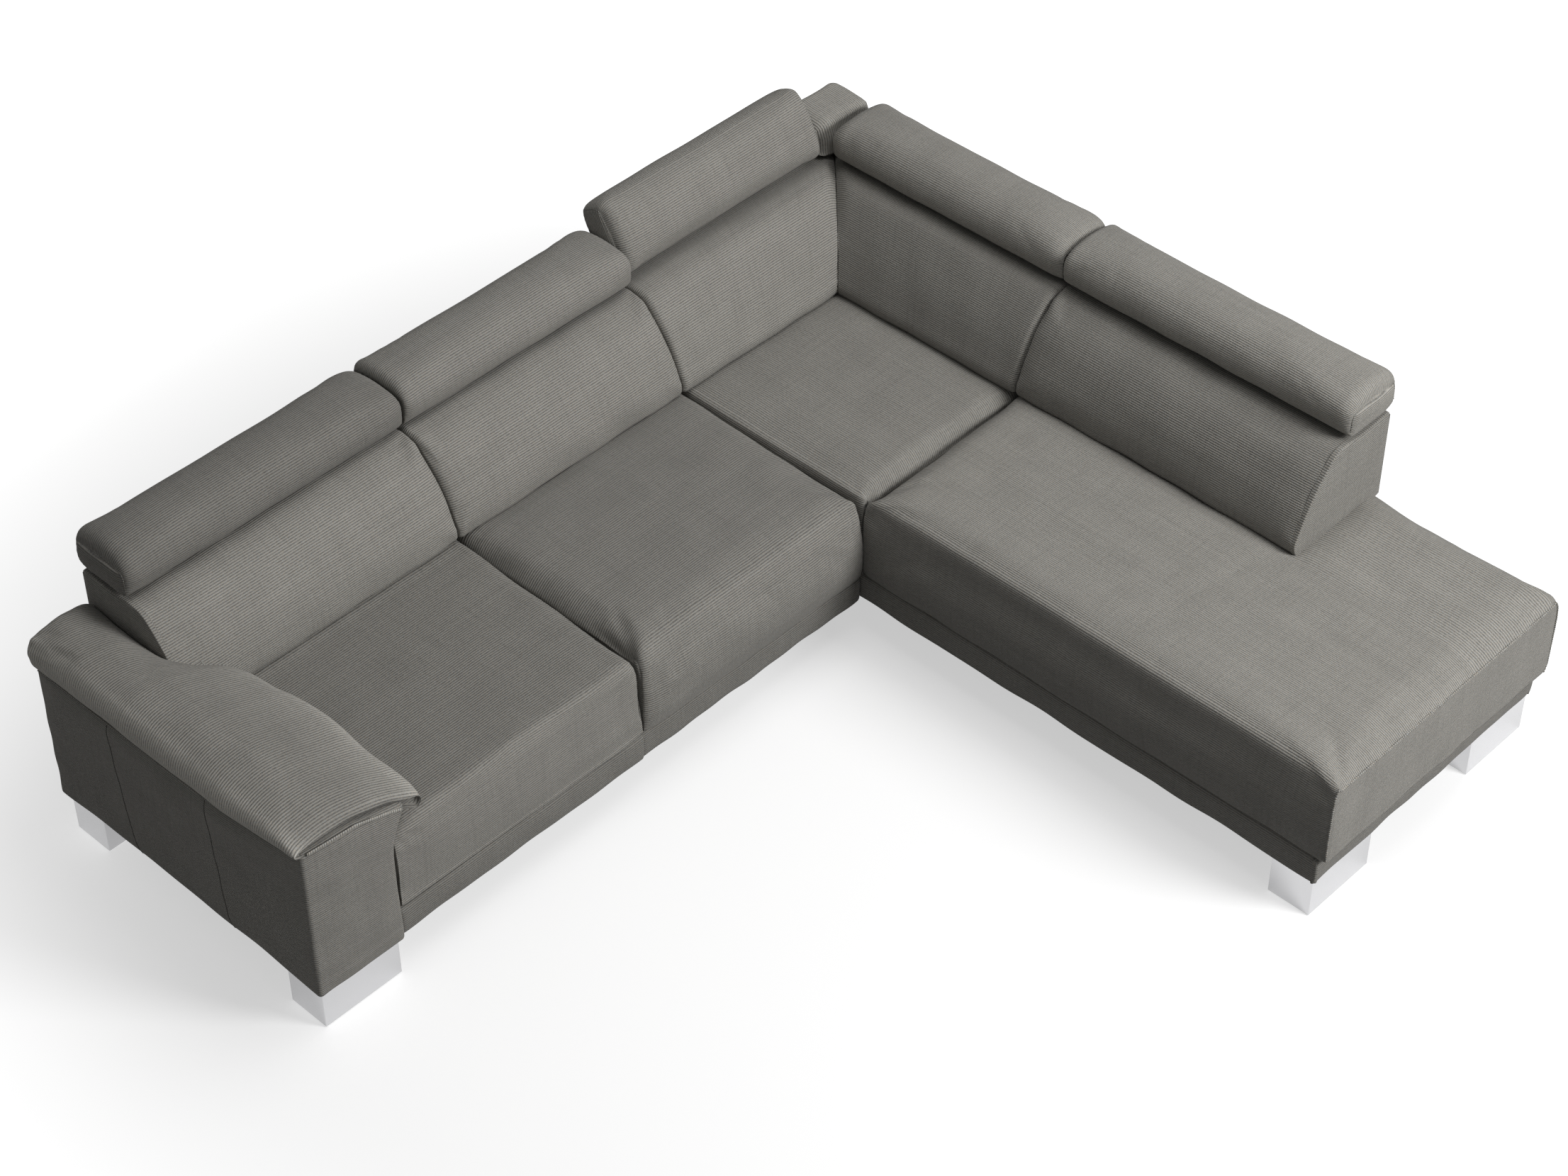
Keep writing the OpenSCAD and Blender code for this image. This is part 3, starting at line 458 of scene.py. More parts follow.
def make_chaise():
    low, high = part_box("chaise_cushion")
    back_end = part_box("chaise_back_end_panel")[1].y
    left_t = REAR_X - low.x + 0.002
    right_t = REAR_X - high.x
    r = 0.024

    def sides_at(a):
        """The seat lies against its back as far as this reaches, and is free after it."""
        rear_t = INNER_T if a > back_end else right_t
        turn = arc((left_t - r, SEAT_Z - r), r, 45, 90)[::-1]
        near = (rear_t, SEAT_Z - r) if a > back_end else (rear_t + 0.007, SEAT_Z - 0.007)
        upper = joined(legs(near, 2, (rear_t + r, SEAT_Z), 20, (0.320, SEAT_Z), 35, turn[0]),
                       even(turn, 3))
        side = smooth([turn[-1], (left_t - 0.001, SEAT_Z - 0.028), (left_t + 0.002, SEAT_Z - 0.08),
                       (left_t + 0.003, SEAT_Z - 0.16), (left_t, BORDER_Z + 0.02),
                       (left_t - 0.008, BORDER_Z + 0.001)], 18)
        lower = even([side[-1], (rear_t + 0.010, BORDER_Z + 0.001)], 60)
        rear = even([lower[-1], (rear_t, BORDER_Z + 0.02), (rear_t - 0.002, SEAT_Z - 0.10),
                     (rear_t, SEAT_Z - 0.028), near], 18)
        return [upper, side, lower, rear]

    # Two stations close together, where the back ends
    at, inset = Pillow.stations(low.y, high.y + 0.001, 0.014, (0.024, 0.032), (0, 20))
    nearest = int(np.argmin(abs(np.array(at) - back_end)))
    at[nearest:nearest + 1] = [back_end - 0.0004, back_end + 0.0004]
    inset.insert(nearest + 1, 0)
    (t0, a0), (t1, a1) = HOLLOW

    def relief(p):
        line = a0 + (p[:, 1] - t0) / (t1 - t0) * (a1 - a0)
        share = np.clip((0.72 - p[:, 1]) / 0.25, 0, 1) * np.clip((p[:, 1] - 0.27) / 0.04, 0, 1)
        share = share * (p[:, 2] > SEAT_Z - 0.02)
        hollow = -HOLLOW_DEPTH * share * np.exp(-((p[:, 0] - line) / HOLLOW_WIDTH) ** 2)
        return hollow + gathers(p, (high.y,)) + 0.6 * corner_folds(p, (high.y, left_t, SEAT_Z))

    # Painted light on the top and painted shade down the left side
    def painted_light_at(p):
        return 1.06 - 0.24 * np.clip((p[:, 1] - left_t + 0.020) / 0.018, 0, 1)

    # Its welt's tone is a painted highlight along the seam.
    block = Pillow("chaise_upholstery", "chaise_cushion", sides_at, low.y, high.y, 0.014,
                   chaise_wing, stations=(at, inset), pins=(2,), nap=painted_light_at, relief=relief,
                   soften=((1, 0.3, 0.1, 0.1), (1, 0.15, 0.1, 0.3)), crease=0.5, pitch=0.0054,
                   walls=((1, low.y - 0.012, high.y + 0.0015),),
                   welts=((0, 0.0024, (0, 1, 3), 1.12),))
    block.also = (block.local[:, 0] > back_end - 0.004) & (block.local[:, 1] < HELD_T)


def make_borders():
    def strip(name, node, t0, t1, start, stop, place, drop=0.0):
        r, n = 0.004, 8
        upper = even([(t0, BORDER_Z), (t1 - r, BORDER_Z)], 2)
        front = smooth([(t1 - r, BORDER_Z), (t1 - 0.001, BORDER_Z - 0.005),
                        (t1 + 0.001, BORDER_Z - 0.03), (t1, BASE_Z + 0.012), (t1 - r, BASE_Z)], n)
        lower = even([(t1 - r, BASE_Z), (t0, BASE_Z)], 2)

        def relief(p):
            """Slack waves of the lower edge."""
            lowest = np.clip((BASE_Z + 0.03 - p[:, 2]) / 0.03, 0, 1)
            return 0.0012 * lowest * np.sin(p[:, 0] * 2 * math.pi / 0.27)

        # The strip's tone is painted shade under the seat's lip.
        Pillow(name, node, closed(upper, front, lower, n), start, stop, 0.018,
               lambda p: place(p - np.array([0, 0, drop])), ends=(0.007, 0.007),
               soften=((0.1, 0.5, 1, 0), (0.1, 0.5, 1, 0)), tuck=(25, 25), fill=0.3, nap=0.80,
               relief=relief)

    for name, proud, longer, drop in (("left", 0.003, 0.005, 0.002), ("middle", 0, 0.002, 0)):
        low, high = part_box(name + "_base_border")
        strip(name + "_border_cover", name + "_base_border", REAR_Y - high.y,
              REAR_Y - low.y + proud, low.x - longer, high.x + 0.002, long_wing, drop)
    node = "chaise_base_border"
    low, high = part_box(node)
    back_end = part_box("chaise_back_end_panel")[0].y
    thick = 0.012
    strip("chaise_left_border_cover", node, REAR_X - low.x - thick, REAR_X - low.x, low.y,
          REAR_Y - INNER_T, chaise_wing)
    strip("chaise_end_border_cover", node, REAR_Y - low.y - thick, REAR_Y - low.y, low.x, high.x,
          long_wing)
    strip("chaise_right_border_cover", node, 0, thick, low.y, back_end,
          lambda p: np.stack([high.x - thick + p[:, 1], p[:, 0], p[:, 2]], 1))


def make_closings():
    """Cloth over the frames' sides and front, where they show between two cushions."""
    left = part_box("left_seat_frame")
    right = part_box("chaise_base_border")[0]
    inner_y = REAR_Y - INNER_T
    corner_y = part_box("chaise_cushion")[1].y
    for name, (x0, x1), y, z0, count in (
            ("left_side_closing", (left[0].x - 0.0027, left[0].x - 0.0004), (left[0].y, inner_y),
             BASE_Z + 0.004, 2),
            ("corner_side_closing", (right.x + 0.001, right.x + 0.005), (corner_y + 0.003, inner_y),
             BORDER_Z + 0.001, 2),
            ("front_closing", (left[0].x - 0.0027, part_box("middle_seat_cushion")[1].x),
             (left[0].y - 0.0022, left[0].y - 0.0006), BORDER_Z - 0.006, 30)):
        z1 = FOAM_Z - 0.001
        sides = closed(even([(x0, z1), (x1, z1)], count), even([(x1, z1), (x1, z0)], 8),
                       even([(x1, z0), (x0, z0)], count), 8)
        # Their tone is painted shade between the cushions.
        Pillow(name, None, sides, *y, 0.03, along_y, ends=(0.0005, 0.0005), fill=0.1, nap=0.8,
               uneven=0)


# Backs

BACK_SPOTS = ((0.136, -0.001), (0.168, -0.004), (0.196, -0.014), (0.242, -0.066),
              (0.277, -0.120), (0.303, -0.177), (0.316, -0.212), (0.306, -0.2415))


def back_sides(n=22):
    """Section of a back cushion; its face leans, and is fullest above the seat."""
    front = smooth([(t, BACK_Z + z) for t, z in BACK_SPOTS], n)
    upper = legs((INNER_T, BACK_Z - SUNK - 0.002), 4, (HINGE_T, BACK_Z - SUNK), 2, front[0])
    return closed(upper, front, even([front[-1], (INNER_T, SEAT_Z + 0.0005)], 6), n)


def make_backs():
    free = (0.4, 0.2, 0.2, 0.0)
    inner = (0.4, 1.0, 0.2, 0.0)
    # Each back's tone is painted light and shade for the way it faces the light.
    for name, axis, first, ends, nap in (("left_back", 0, free, (0.002, 0.018), 1.05),
                                         ("middle_back", 0, inner, (0.018, 0.018), 1.0),
                                         ("chaise_back", 1, free, (0.002, 0.018), 0.89)):
        low, high = (corner[axis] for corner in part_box(name + "_cushion"))
        Pillow(name + "_upholstery", name + "_cushion", back_sides(), low, high, 0.014,
               WINGS[axis], ends=ends, soften=(first, inner), pins=(0, 2, 3), nap=nap,
               walls=((axis, low, high),), relief=gathered(low, high),
               pitch=0.0054 if axis else 0.0059)
    for axis, name, other, nap, pitch in ((0, "corner_left_back", REAR_X, 1.0, 0.0059),
                                          (1, "corner_right_back", REAR_Y, 0.9, 0.0049)):
        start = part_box(name + "_cushion")[0][axis]
        block = Pillow(name + "_upholstery", name + "_cushion", back_sides(), start,
                       other - INNER_T, 0.014, WINGS[axis], ends=(0.018, 0.0),
                       soften=(inner, EVEN), pins=(0, 2, 3), cap=0.010, nap=nap,
                       walls=((axis, start, other),), relief=gathered(start), pitch=pitch)
        block.local = mitred(block.local, other)
        block.move(WINGS[axis](block.local))


# The mitre of the two corner backs: half the gap between them, and how far their upper ends drop
MITRE_GAP = 0.0015
MITRE_DROP = 0.022


def mitred(local, other):
    """Draws the rings in so that the block ends on the mitre, its upper corner rounded."""
    out = local.copy()
    start = local[:, 0].min()
    share = (local[:, 0] - start) / (local[:, 0].max() - start)
    out[:, 0] = start + share * (other - local[:, 1] - MITRE_GAP - start)
    near = np.clip((share - 0.94) / 0.06, 0, 1)
    high = np.clip((local[:, 2] - BACK_Z + 0.10) / 0.10, 0, 1)
    out[:, 2] -= MITRE_DROP * near ** 2 * high
    return out


def make_back_ends():
    """Panels that close the two outer ends of the backs."""
    for axis, name, below in ((0, "left_back_end_panel", 0), (1, "chaise_back_end_panel", 0.012)):
        low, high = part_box(name)
        front = smooth([(t, BACK_Z + z) for t, z in BACK_SPOTS[1:]], 20)
        r = 0.010
        rear_t = -REAR_PROUD
        upper = joined(even([(r * 0.3 + rear_t, BACK_Z - r * 0.3), (r + rear_t, BACK_Z)], 1),
                       even([(r + rear_t, BACK_Z), (0.050, BACK_Z - 0.005),
                             (HINGE_T, BACK_Z - SUNK), (0.140, BACK_Z - 0.002), front[0]], 11))
        keep = front[:, 1] > low.z
        front = even(np.vstack([front[keep]] + ([front[-1:]] if below else [])), 20)
        foot = low.z - below
        lower = even([front[-1], (front[-1][0] - 0.004, foot), (rear_t, foot)], 12)
        rear = even([(rear_t, foot), (rear_t, BACK_Z - r), upper[0]], 20)
        # The end cover's tone is a slight painted shade, and its rear welt's a deeper painted
        # shade.
        Pillow(name.replace("panel", "cover"), name, [upper, front, lower, rear], low[axis],
               high[axis] + 0.0015, 0.006, WINGS[axis], ends=(0.003, 0.001), dome=(0.004, 0.0),
               fill=0.3, crease=0.5, nap=0.95, uneven=0.0005)
        rear_edge = [(low[axis] + 0.004, rear_t - 0.001, z)
                     for z in np.linspace(foot + 0.002, BACK_Z - 1.5 * r, 30)]
        trim(name.replace("panel", "rear_welt"), WINGS[axis](np.array(rear_edge)), 0.0028,
             np.eye(3)[axis], nap=0.6)


def make_rear_covers():
    for axis, name in enumerate(("left_rear_cover", "right_rear_cover")):
        low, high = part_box(name)
        depth, r, edge_t = 0.012, 0.012, 0.062
        outer = -REAR_PROUD
        sunk, sunk_more = BACK_Z - SUNK, BACK_Z - SUNK - 0.003
        upper = joined(arc((outer + r, BACK_Z - r), r, 135, 90, 3),
                       even([(outer + r, BACK_Z), (edge_t, sunk)], 6))
        front = legs((edge_t, sunk), 1, (edge_t, sunk_more), 4, (depth, sunk), 22, (depth, BASE_Z))
        lower = even([(depth, BASE_Z), (outer, BASE_Z)], 9)
        rear = even([(outer, BASE_Z), (outer - 0.002, BASE_Z + 0.1), (outer - 0.002, BACK_Z - 0.1),
                     (outer, BACK_Z - r), upper[0]], 27)
        Pillow(name + "_upholstery", name, [upper, front, lower, rear], low[axis], high[axis],
               0.03, WINGS[axis], ends=(0.003, 0.003), fill=0.3)


# Headrests: (depth, height above their lowest point) of the four sides of their section, in
# millimetres, each with the number of its spans

HEAD_SIDES = (
    (16, ((-26, 89), (-14, 99), (15, 107), (55, 111), (95, 109), (128, 103), (147, 92))),
    (9, ((147, 92), (157, 80), (161, 62), (159, 38), (152, 14))),
    (16, ((152, 14), (140, 2), (110, 0), (60, 0), (12, 0), (-18, 6), (-28, 17))),
    (9, ((-28, 17), (-32, 40), (-32, 64), (-30, 80), (-26, 89))))

# For each headrest its two ends, the lower coordinate first: (reach beyond the CAD solid, length
# of the rounding, shares of top, front, bottom and rear, dome), then its tone of painted light and
# shade
FULL = (1.0, 0.5, 0.1, 0.5)
SLOPE = (0.34, 0.22, 0.05, 0.34)
HEADRESTS = {
    "left": ((0.0, 0.034, FULL, 0.010), (0.001, 0.070, SLOPE, 0.0), 0.76),
    "middle": ((0.001, 0.022, FULL, 0.0), (0.001, 0.060, SLOPE, 0.0), 0.94),
    "corner_left": ((0.0, 0.030, FULL, 0.006), (0.023, 0.024, (0.9, 0.25, 0.1, 0.5), 0.006), 1.0),
    "corner_right": ((0.001, 0.070, SLOPE, 0.0), (0.014, 0.036, (1.0, 0.4, 0.1, 0.5), 0.004), 1.12),
    "chaise": ((0.0, 0.034, FULL, 0.010), (0.001, 0.020, FULL, 0.0), 1.1),
}
HEAD_DROOP = 0.006
HEAD_SWING = 0.090


def make_headrests():
    joints = {joint["name"]: joint for joint in frame["joints"]}
    low_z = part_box("left_headrest_cushion")[0].z
    sides = [smooth([(t / 1000, low_z + z / 1000) for t, z in spots], n) for n, spots in HEAD_SIDES]
    for name, (first, last, nap) in HEADRESTS.items():
        axis = int(name in ("corner_right", "chaise"))
        raised = name == "corner_left"
        joint = joints[name + "_headrest_tilt"]
        hinge = np.array(joint["pos_m"], float)
        low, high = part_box(name + "_headrest_cushion")
        start, stop = low[axis] - first[0], high[axis] + last[0]
        free = [end[3] >= 0.006 and not (raised and end is last) for end in (first, last)]
        # Its welts take a painted shade, darker than the headrest.
        block = Pillow(
            name + "_headrest_upholstery", name + "_headrest_cushion", sides, start, stop, 0.014,
            WINGS[axis], ends=(first[1], last[1]), soften=(first[2], last[2]),
            dome=(first[3], last[3]), tuck=[0 if f else 20 for f in free],
            body=name + "_headrest", slot="cord_cover", pins=(2,), cap=0.010, nap=nap, crease=0.5,
            walls=((axis, start - first[3] - 0.001, stop + last[3] + 0.001),),
            relief=gathered(start, stop, length=0.016), uneven=0.0008,
            pitch=0.0052 if axis else 0.0058, swing=(hinge, axis),
            welts=[(end, 0.0007, (0, 1, 3), nap * 0.8) for end, f in zip((0, -1), free) if f])
        if name in ("left", "chaise"):
            near = np.clip(1 - (block.local[:, 0] - start) / 0.12, 0, 1)
            nose = np.clip((block.local[:, 1] - 0.08) / 0.06, 0, 1)
            block.local[:, 2] -= HEAD_DROOP * near ** 2 * nose
            block.move(WINGS[axis](block.local))
        if raised:
            angle = math.radians(-joint["range_deg"][0])
            c, s = math.cos(angle), math.sin(angle)
            turned = block.rest - hinge
            y, z = turned[:, 1].copy(), turned[:, 2].copy()
            turned[:, 1], turned[:, 2] = c * y - s * z, s * y + c * z
            block.move(turned + hinge)


def make_corner_block():
    low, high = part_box("corner_block")
    room_x, room_y = 0.031, 0.027
    t0, t1 = REAR_Y - high.y, REAR_Y - low.y - room_y
    top, front_top = high.z + 0.013, high.z + 0.006
    outer, inner = 0.024, 0.044
    upper = joined(arc((t0 + outer, top - outer), outer, 135, 90, 4),
                   even([(t0 + outer, top), (t1 - inner, front_top)], 8),
                   arc((t1 - inner, front_top - inner), inner, 90, 45, 4))
    front = even([upper[-1], (t1, top - inner - 0.010), (t1, low.z)], 8)
    lower = even([(t1, low.z), (t0 + 0.004, low.z)], 16)
    rear = even([(t0 + 0.004, low.z), (t0, top - outer - 0.006), upper[0]], 8)
    # Its tone is painted light.
    Pillow("corner_block_upholstery", "corner_block", [upper, front, lower, rear], low.x + room_x,
           high.x + 0.008, 0.013, long_wing, ends=(0.054, 0.040), around=True,
           soften=((0.9, 1.0, 0.1, 0.5), (0.9, 0.5, 0.1, 0.9)), slot="cord_cover", pins=(2,),
           cap=0.004, nap=1.2,
           walls=((0, low.x + room_x, high.x + 0.014), (1, low.y + room_y, high.y + 0.006)))


# Armrest: sections of its pad, in millimetres. Each row is a depth behind which it holds, then
# the points from the outer upper corner over the top and the lip, under the pad and up its outer
# side, first from the outer edge and then above the floor.

PAD_UPPER, PAD_UNDER, PAD_SEAM = slice(0, 7), slice(9, 15), 14
PAD_SECTIONS = (
    (0, (10, 30, 58, 96, 130, 160, 180, 184, 184, 180, 172, 140, 100, 60, 18, 6, -1),
     (588, 598, 603, 605, 603, 597, 583, 568, 545, 520, 501, 499, 499, 499, 499, 520, 556)),
    (240, (10, 30, 58, 96, 130, 160, 181, 185, 184, 180, 172, 140, 100, 60, 18, 6, -1),
     (588, 598, 603, 605, 602, 595, 581, 568, 548, 524, 503, 499, 499, 499, 499, 520, 556)),
    (290, (10, 30, 58, 96, 130, 170, 214, 221, 213, 190, 172, 140, 100, 60, 18, 6, -1),
     (588, 598, 603, 605, 602, 591, 569, 560, 550, 541, 510, 499, 499, 499, 499, 520, 556)),
    (335, (10, 30, 58, 96, 135, 200, 280, 290, 284, 262, 236, 170, 110, 60, 18, 6, -1),
     (588, 598, 603, 605, 600, 578, 545, 533, 518, 509, 501, 499, 499, 499, 499, 520, 556)),
    (420, (10, 30, 58, 96, 145, 230, 318, 329, 324, 304, 262, 190, 120, 60, 18, 6, -1),
     (587, 598, 603, 605, 597, 567, 532, 520, 505, 496, 497, 499, 499, 499, 499, 520, 556)),
    (600, (10, 30, 58, 96, 150, 240, 333, 343, 339, 320, 270, 190, 120, 60, 18, 6, -1),
     (587, 597, 602, 604, 596, 568, 539, 527, 511, 501, 499, 503, 504, 504, 504, 523, 556)),
    (760, (9, 28, 58, 96, 152, 240, 332, 343, 340, 322, 275, 200, 125, 65, 18, 7, 0),
     (583, 593, 599, 601, 592, 562, 525, 512, 496, 486, 492, 513, 521, 524, 524, 538, 560)),
    (855, (10, 30, 58, 96, 158, 248, 333, 346, 345, 329, 285, 235, 155, 87, 18, 7, 0),
     (580, 588, 593, 595, 587, 558, 516, 503, 486, 473, 490, 509, 531, 536, 542, 551, 564)),
    (898, (10, 30, 58, 96, 160, 250, 324, 342, 343, 330, 290, 245, 165, 95, 18, 7, 1),
     (568, 574, 577, 578, 574, 551, 508, 493, 475, 461, 489, 508, 535, 541, 549, 553, 560)),
)

# The pad's tone at distances from its outer edge: painted light over its outer rounding and its
# inner edge, slight painted shade between
PAD_PAINTED_LIGHT = ((0.004, 0.010, 0.020, 0.030, 0.045, 0.100, 0.150, 0.190, 0.240, 0.300, 0.330),
           (2.10, 1.90, 1.50, 1.22, 1.06, 0.98, 0.90, 0.91, 0.99, 1.10, 1.35))


def between(keys, d):
    """The points at d, on smooth curves through those of the keys."""
    at = [key[0] for key in keys]
    i = min(max(int(np.searchsorted(at, d)) - 1, 0), len(keys) - 2)
    span = at[i + 1] - at[i]
    u = min(max((d - at[i]) / span, 0), 1)
    here, there = keys[i][1], keys[i + 1][1]
    before, after = keys[max(i - 1, 0)], keys[min(i + 2, len(keys) - 1)]
    leave = (there - before[1]) / (at[i + 1] - before[0]) * span
    reach = (after[1] - here) / (after[0] - at[i]) * span
    return ((2 * u ** 3 - 3 * u * u + 1) * here + (u ** 3 - 2 * u * u + u) * leave
            + (3 * u * u - 2 * u ** 3) * there + (u ** 3 - u * u) * reach)


def pad_section(keys, depth):
    """The four sides of the pad's section at a depth, smooth from the seam over to the lip."""
    points = between(keys, depth)
    over = smooth(np.vstack([points[PAD_SEAM:], points[:PAD_UNDER.start + 1]]), 38)
    return [over[6:33], over[32:], smooth(points[PAD_UNDER], 26), over[:7]]


def pad_floor(keys, depth, x):
    """Height of the pad's underside at a depth and place across."""
    under = between(keys, depth)[PAD_UNDER][::-1]
    return float(np.interp(x, under[:, 0], under[:, 1])) + 0.002


def make_arm_pad(low, keys):
    def pad_painted_light(p):
        """Painted light over its two long edges, and painted shade where the front rolls under."""
        across = np.interp(p[:, 1] - low.x, *PAD_PAINTED_LIGHT)
        edge = keys[-1][1][PAD_UPPER]
        below = np.interp(p[:, 1], edge[:, 0], edge[:, 1]) - p[:, 2]
        front = np.clip((low.y + 0.020 - p[:, 0]) / 0.004, 0, 1)
        return across * (1 - 0.35 * front * np.clip((below - 0.006) / 0.005, 0, 1))

    pad = Pillow("arm_pad_upholstery", "arm_pad", lambda y: pad_section(keys, REAR_Y - y), low.y,
                 REAR_Y, 0.012, along_y, ends=(0.010, 0.012), around=True,
                 soften=((1, 0.3, 0.1, 0.2), (0.8, 0.5, 0.1, 0.4)), tuck=((35, 0.020), 0),
                 dome=(0, 0.003), pins=(2,), nap=pad_painted_light, crease=0.2, pitch=0.0070,
                 relief=lambda p: gathers(p[:, [0, 2, 1]], (low.y,), 0.0010, 0.012, 0.010))
    inwards = pad.local[:, 0] - low.y
    pad.also = inwards < 0.011
    pad.cap = 0.007 * np.clip(inwards / 0.20, 0.1, 1)[:, None]


# The arm's body: how it flares under the pad's front, at its inner upper edge. That is how far,
# from which depth and height on, and the lengths over which it grows in depth, height and across.
FLARE = 0.034
FLARE_T, FLARE_Z = 0.74, 0.405
FLARE_DEEP, FLARE_TALL, FLARE_WIDE = 0.14, 0.075, 0.10


def make_arm():
    pad_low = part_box("arm_pad")[0]
    keys = [(depth / 1000, np.column_stack([np.array(x) / 1000, np.array(z) / 1000])
             + np.array([pad_low.x, 0])) for depth, x, z in PAD_SECTIONS]
    make_arm_pad(pad_low, keys)

    low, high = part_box("arm_cover")
    r = 0.011
    x0, x1, y0, y1 = low.x - 0.005, high.x + 0.004, low.y - 0.005, high.y + 0.002
    turns = [np.array(at) for at in ((x0 + r, y1 - r), (x0 + r, y0 + r), (x1 - r, y0 + r),
                                     (x1 - r, y1 - r))]
    sides = []
    for k, n in enumerate((56, 12, 56, 12)):
        angle = 180 + 90 * k
        a, b = turns[k], turns[(k + 1) % 4]
        out = r * np.array([math.cos(math.radians(angle)), math.sin(math.radians(angle))])
        sides.insert(1, joined(arc(a, r, angle - 45, angle, 3), even([a + out, b + out], n),
                               arc(b, r, angle, angle + 45, 3))[::-1])

    def place(p):
        """Stretches the body upwards where the pad's underside rises to its front, and flares
        its inner upper edge there."""
        out = p[:, [1, 2, 0]]
        for i, (x, y, z) in enumerate(out):
            under = pad_floor(keys, REAR_Y - y, x)
            out[i, 2] = low.z + (z - low.z) * (under - low.z) / (high.z - low.z)
            near = np.clip((REAR_Y - y - FLARE_T) / FLARE_DEEP, 0, 1)
            upper = np.clip((out[i, 2] - FLARE_Z) / FLARE_TALL, 0, 1)
            inner = np.clip((x - x1 + FLARE_WIDE) / FLARE_WIDE, 0, 1)
            out[i, 0] += FLARE * near * upper ** 1.5 * inner
        return out

    # Its tone is a slight painted shade.
    body = Pillow("arm_upholstery", "arm_cover", sides, low.z, high.z + 0.003, 0.014, place,
                  ends=(0.008, 0.010), around=True, pins=(1, 2), cap=0.006, nap=0.96, pitch=0.0052,
                  walls=((0, x0 - 0.006, x1 + 0.036), (1, y0 - 0.006, y1 + 0.002)))
    body.also = sum(np.hypot(body.local[:, 1] - x, body.local[:, 2] - y) < r * 1.5
                    for x in (x0, x1) for y in (y0, y1)) > 0

    front = [(x, y0 - 0.002, pad_floor(keys, REAR_Y - y0, x) + 0.001)
             for x in np.linspace(x0 + 0.016, x1 + 0.026, 60)]
    # The gathers take a painted highlight.
    trim("arm_front_gathers", front, 0.0018, (0, 1, 0), nap=1.35, tall=0.0042)
    # The pad's rim takes a painted highlight.
    depths = np.linspace(0.012, 0.880, 120)
    seam = [between(keys, d)[PAD_SEAM] for d in depths]
    rim = [(x - 0.0015, REAR_Y - d, z + 0.001) for d, (x, z) in zip(depths, seam)]
    trim("arm_pad_rim", rim, 0.0016, (1, 0, 0), nap=1.25, ripple=0.0003)
    for name, depth, top, lean in (("rear", 0.247, 0.490, 0.042), ("front", 0.577, 0.494, 0.0315)):
        z = np.linspace(low.z + 0.006, top, 40)
        slant = lean * (top - z) / (top - low.z)
        side_seams.append((name, body, np.column_stack([np.full(40, x0 - 0.05),
                                                        REAR_Y - depth - slant, z])))


side_seams = []


# Welts, gathers and seam cords

trims = []


def trim(name, points, radius, flat, body="root", slot="cord_upholstery", nap=1.0, ripple=0.0,
         pitch=0.007, tall=None):
    """A cloth-covered cord along points. flat is a direction across its path, tall its radius
    across that, and ripple makes it thicker and thinner, as a gathered seam is."""
    points = np.array(points, float)
    length = np.linalg.norm(np.diff(points, axis=0), axis=1).sum()
    step, strand, n = 0.0021 if ripple else 0.006, 0.0008, 8
    count = max(8, int(length / step))
    path = even(points, count)
    ahead = np.gradient(path, axis=0)
    ahead /= np.maximum(np.linalg.norm(ahead, axis=1), 1e-9)[:, None]
    flat = np.array(flat, float)
    across = flat - (ahead @ flat)[:, None] * ahead
    across /= np.maximum(np.linalg.norm(across, axis=1), 1e-9)[:, None]
    other = np.cross(ahead, across)
    run = np.arange(count + 1) * length / count
    thick = radius + ripple * np.sin(run * 2 * math.pi / pitch)
    turn = np.arange(n) * 2 * math.pi / n
    rings = (path[:, None] + thick[:, None, None]
             * (np.cos(turn)[None, :, None] * across[:, None]
                + (tall or radius) / radius * np.sin(turn)[None, :, None] * other[:, None]))
    i, j = np.mgrid[:count, :n]
    coords = np.stack([strand * j, run[i], strand * (j + 1), run[i],
                       strand * (j + 1), run[i + 1], strand * j, run[i + 1]], 2).reshape(-1, 2)
    caps = [list(range(n)), list(range(count * n, (count + 1) * n))]
    piece = new_piece(name, rings.reshape(-1, 3), tube(count + 1, n).tolist() + caps,
                      np.vstack([coords, np.zeros((2 * n, 2))]))
    finished(piece.data, nap)
    trims.append((piece, body, slot))


def make_seam_cords():
    """Welts along the sewn ends, and the two seams of the armrest's outer side."""
    for pillow in pillows:
        for end, radius, faces, nap in pillow.welts:
            seam = pillow.seams[end]
            shown = np.isin(pillow.side[seam], faces)
            first = int(np.argmax(~np.roll(shown, 1) & shown))
            ring = np.roll(seam, -first)[np.roll(shown, -first)]
            across = np.eye(3)[int(np.argmin(np.ptp(pillow.rest[seam], axis=0)))]
            trim(pillow.name.replace("upholstery", "welt_" + ("b" if end else "a")),
                 pillow.rest[ring], radius, across, pillow.body, pillow.slot, nap, ripple=0.0005,
                 pitch=0.0075)
    for name, body, line in side_seams:
        tree = BVHTree.FromObject(body.object, bpy.context.evaluated_depsgraph_get())
        found = [tree.ray_cast(Vector(point), Vector((1, 0, 0)))[0] for point in line]
        # The side seams take a dark tone of painted shade.
        trim("arm_side_seam_" + name, [p for p in found if p], 0.0012, (1, 0, 0), nap=0.40)


# Simulation

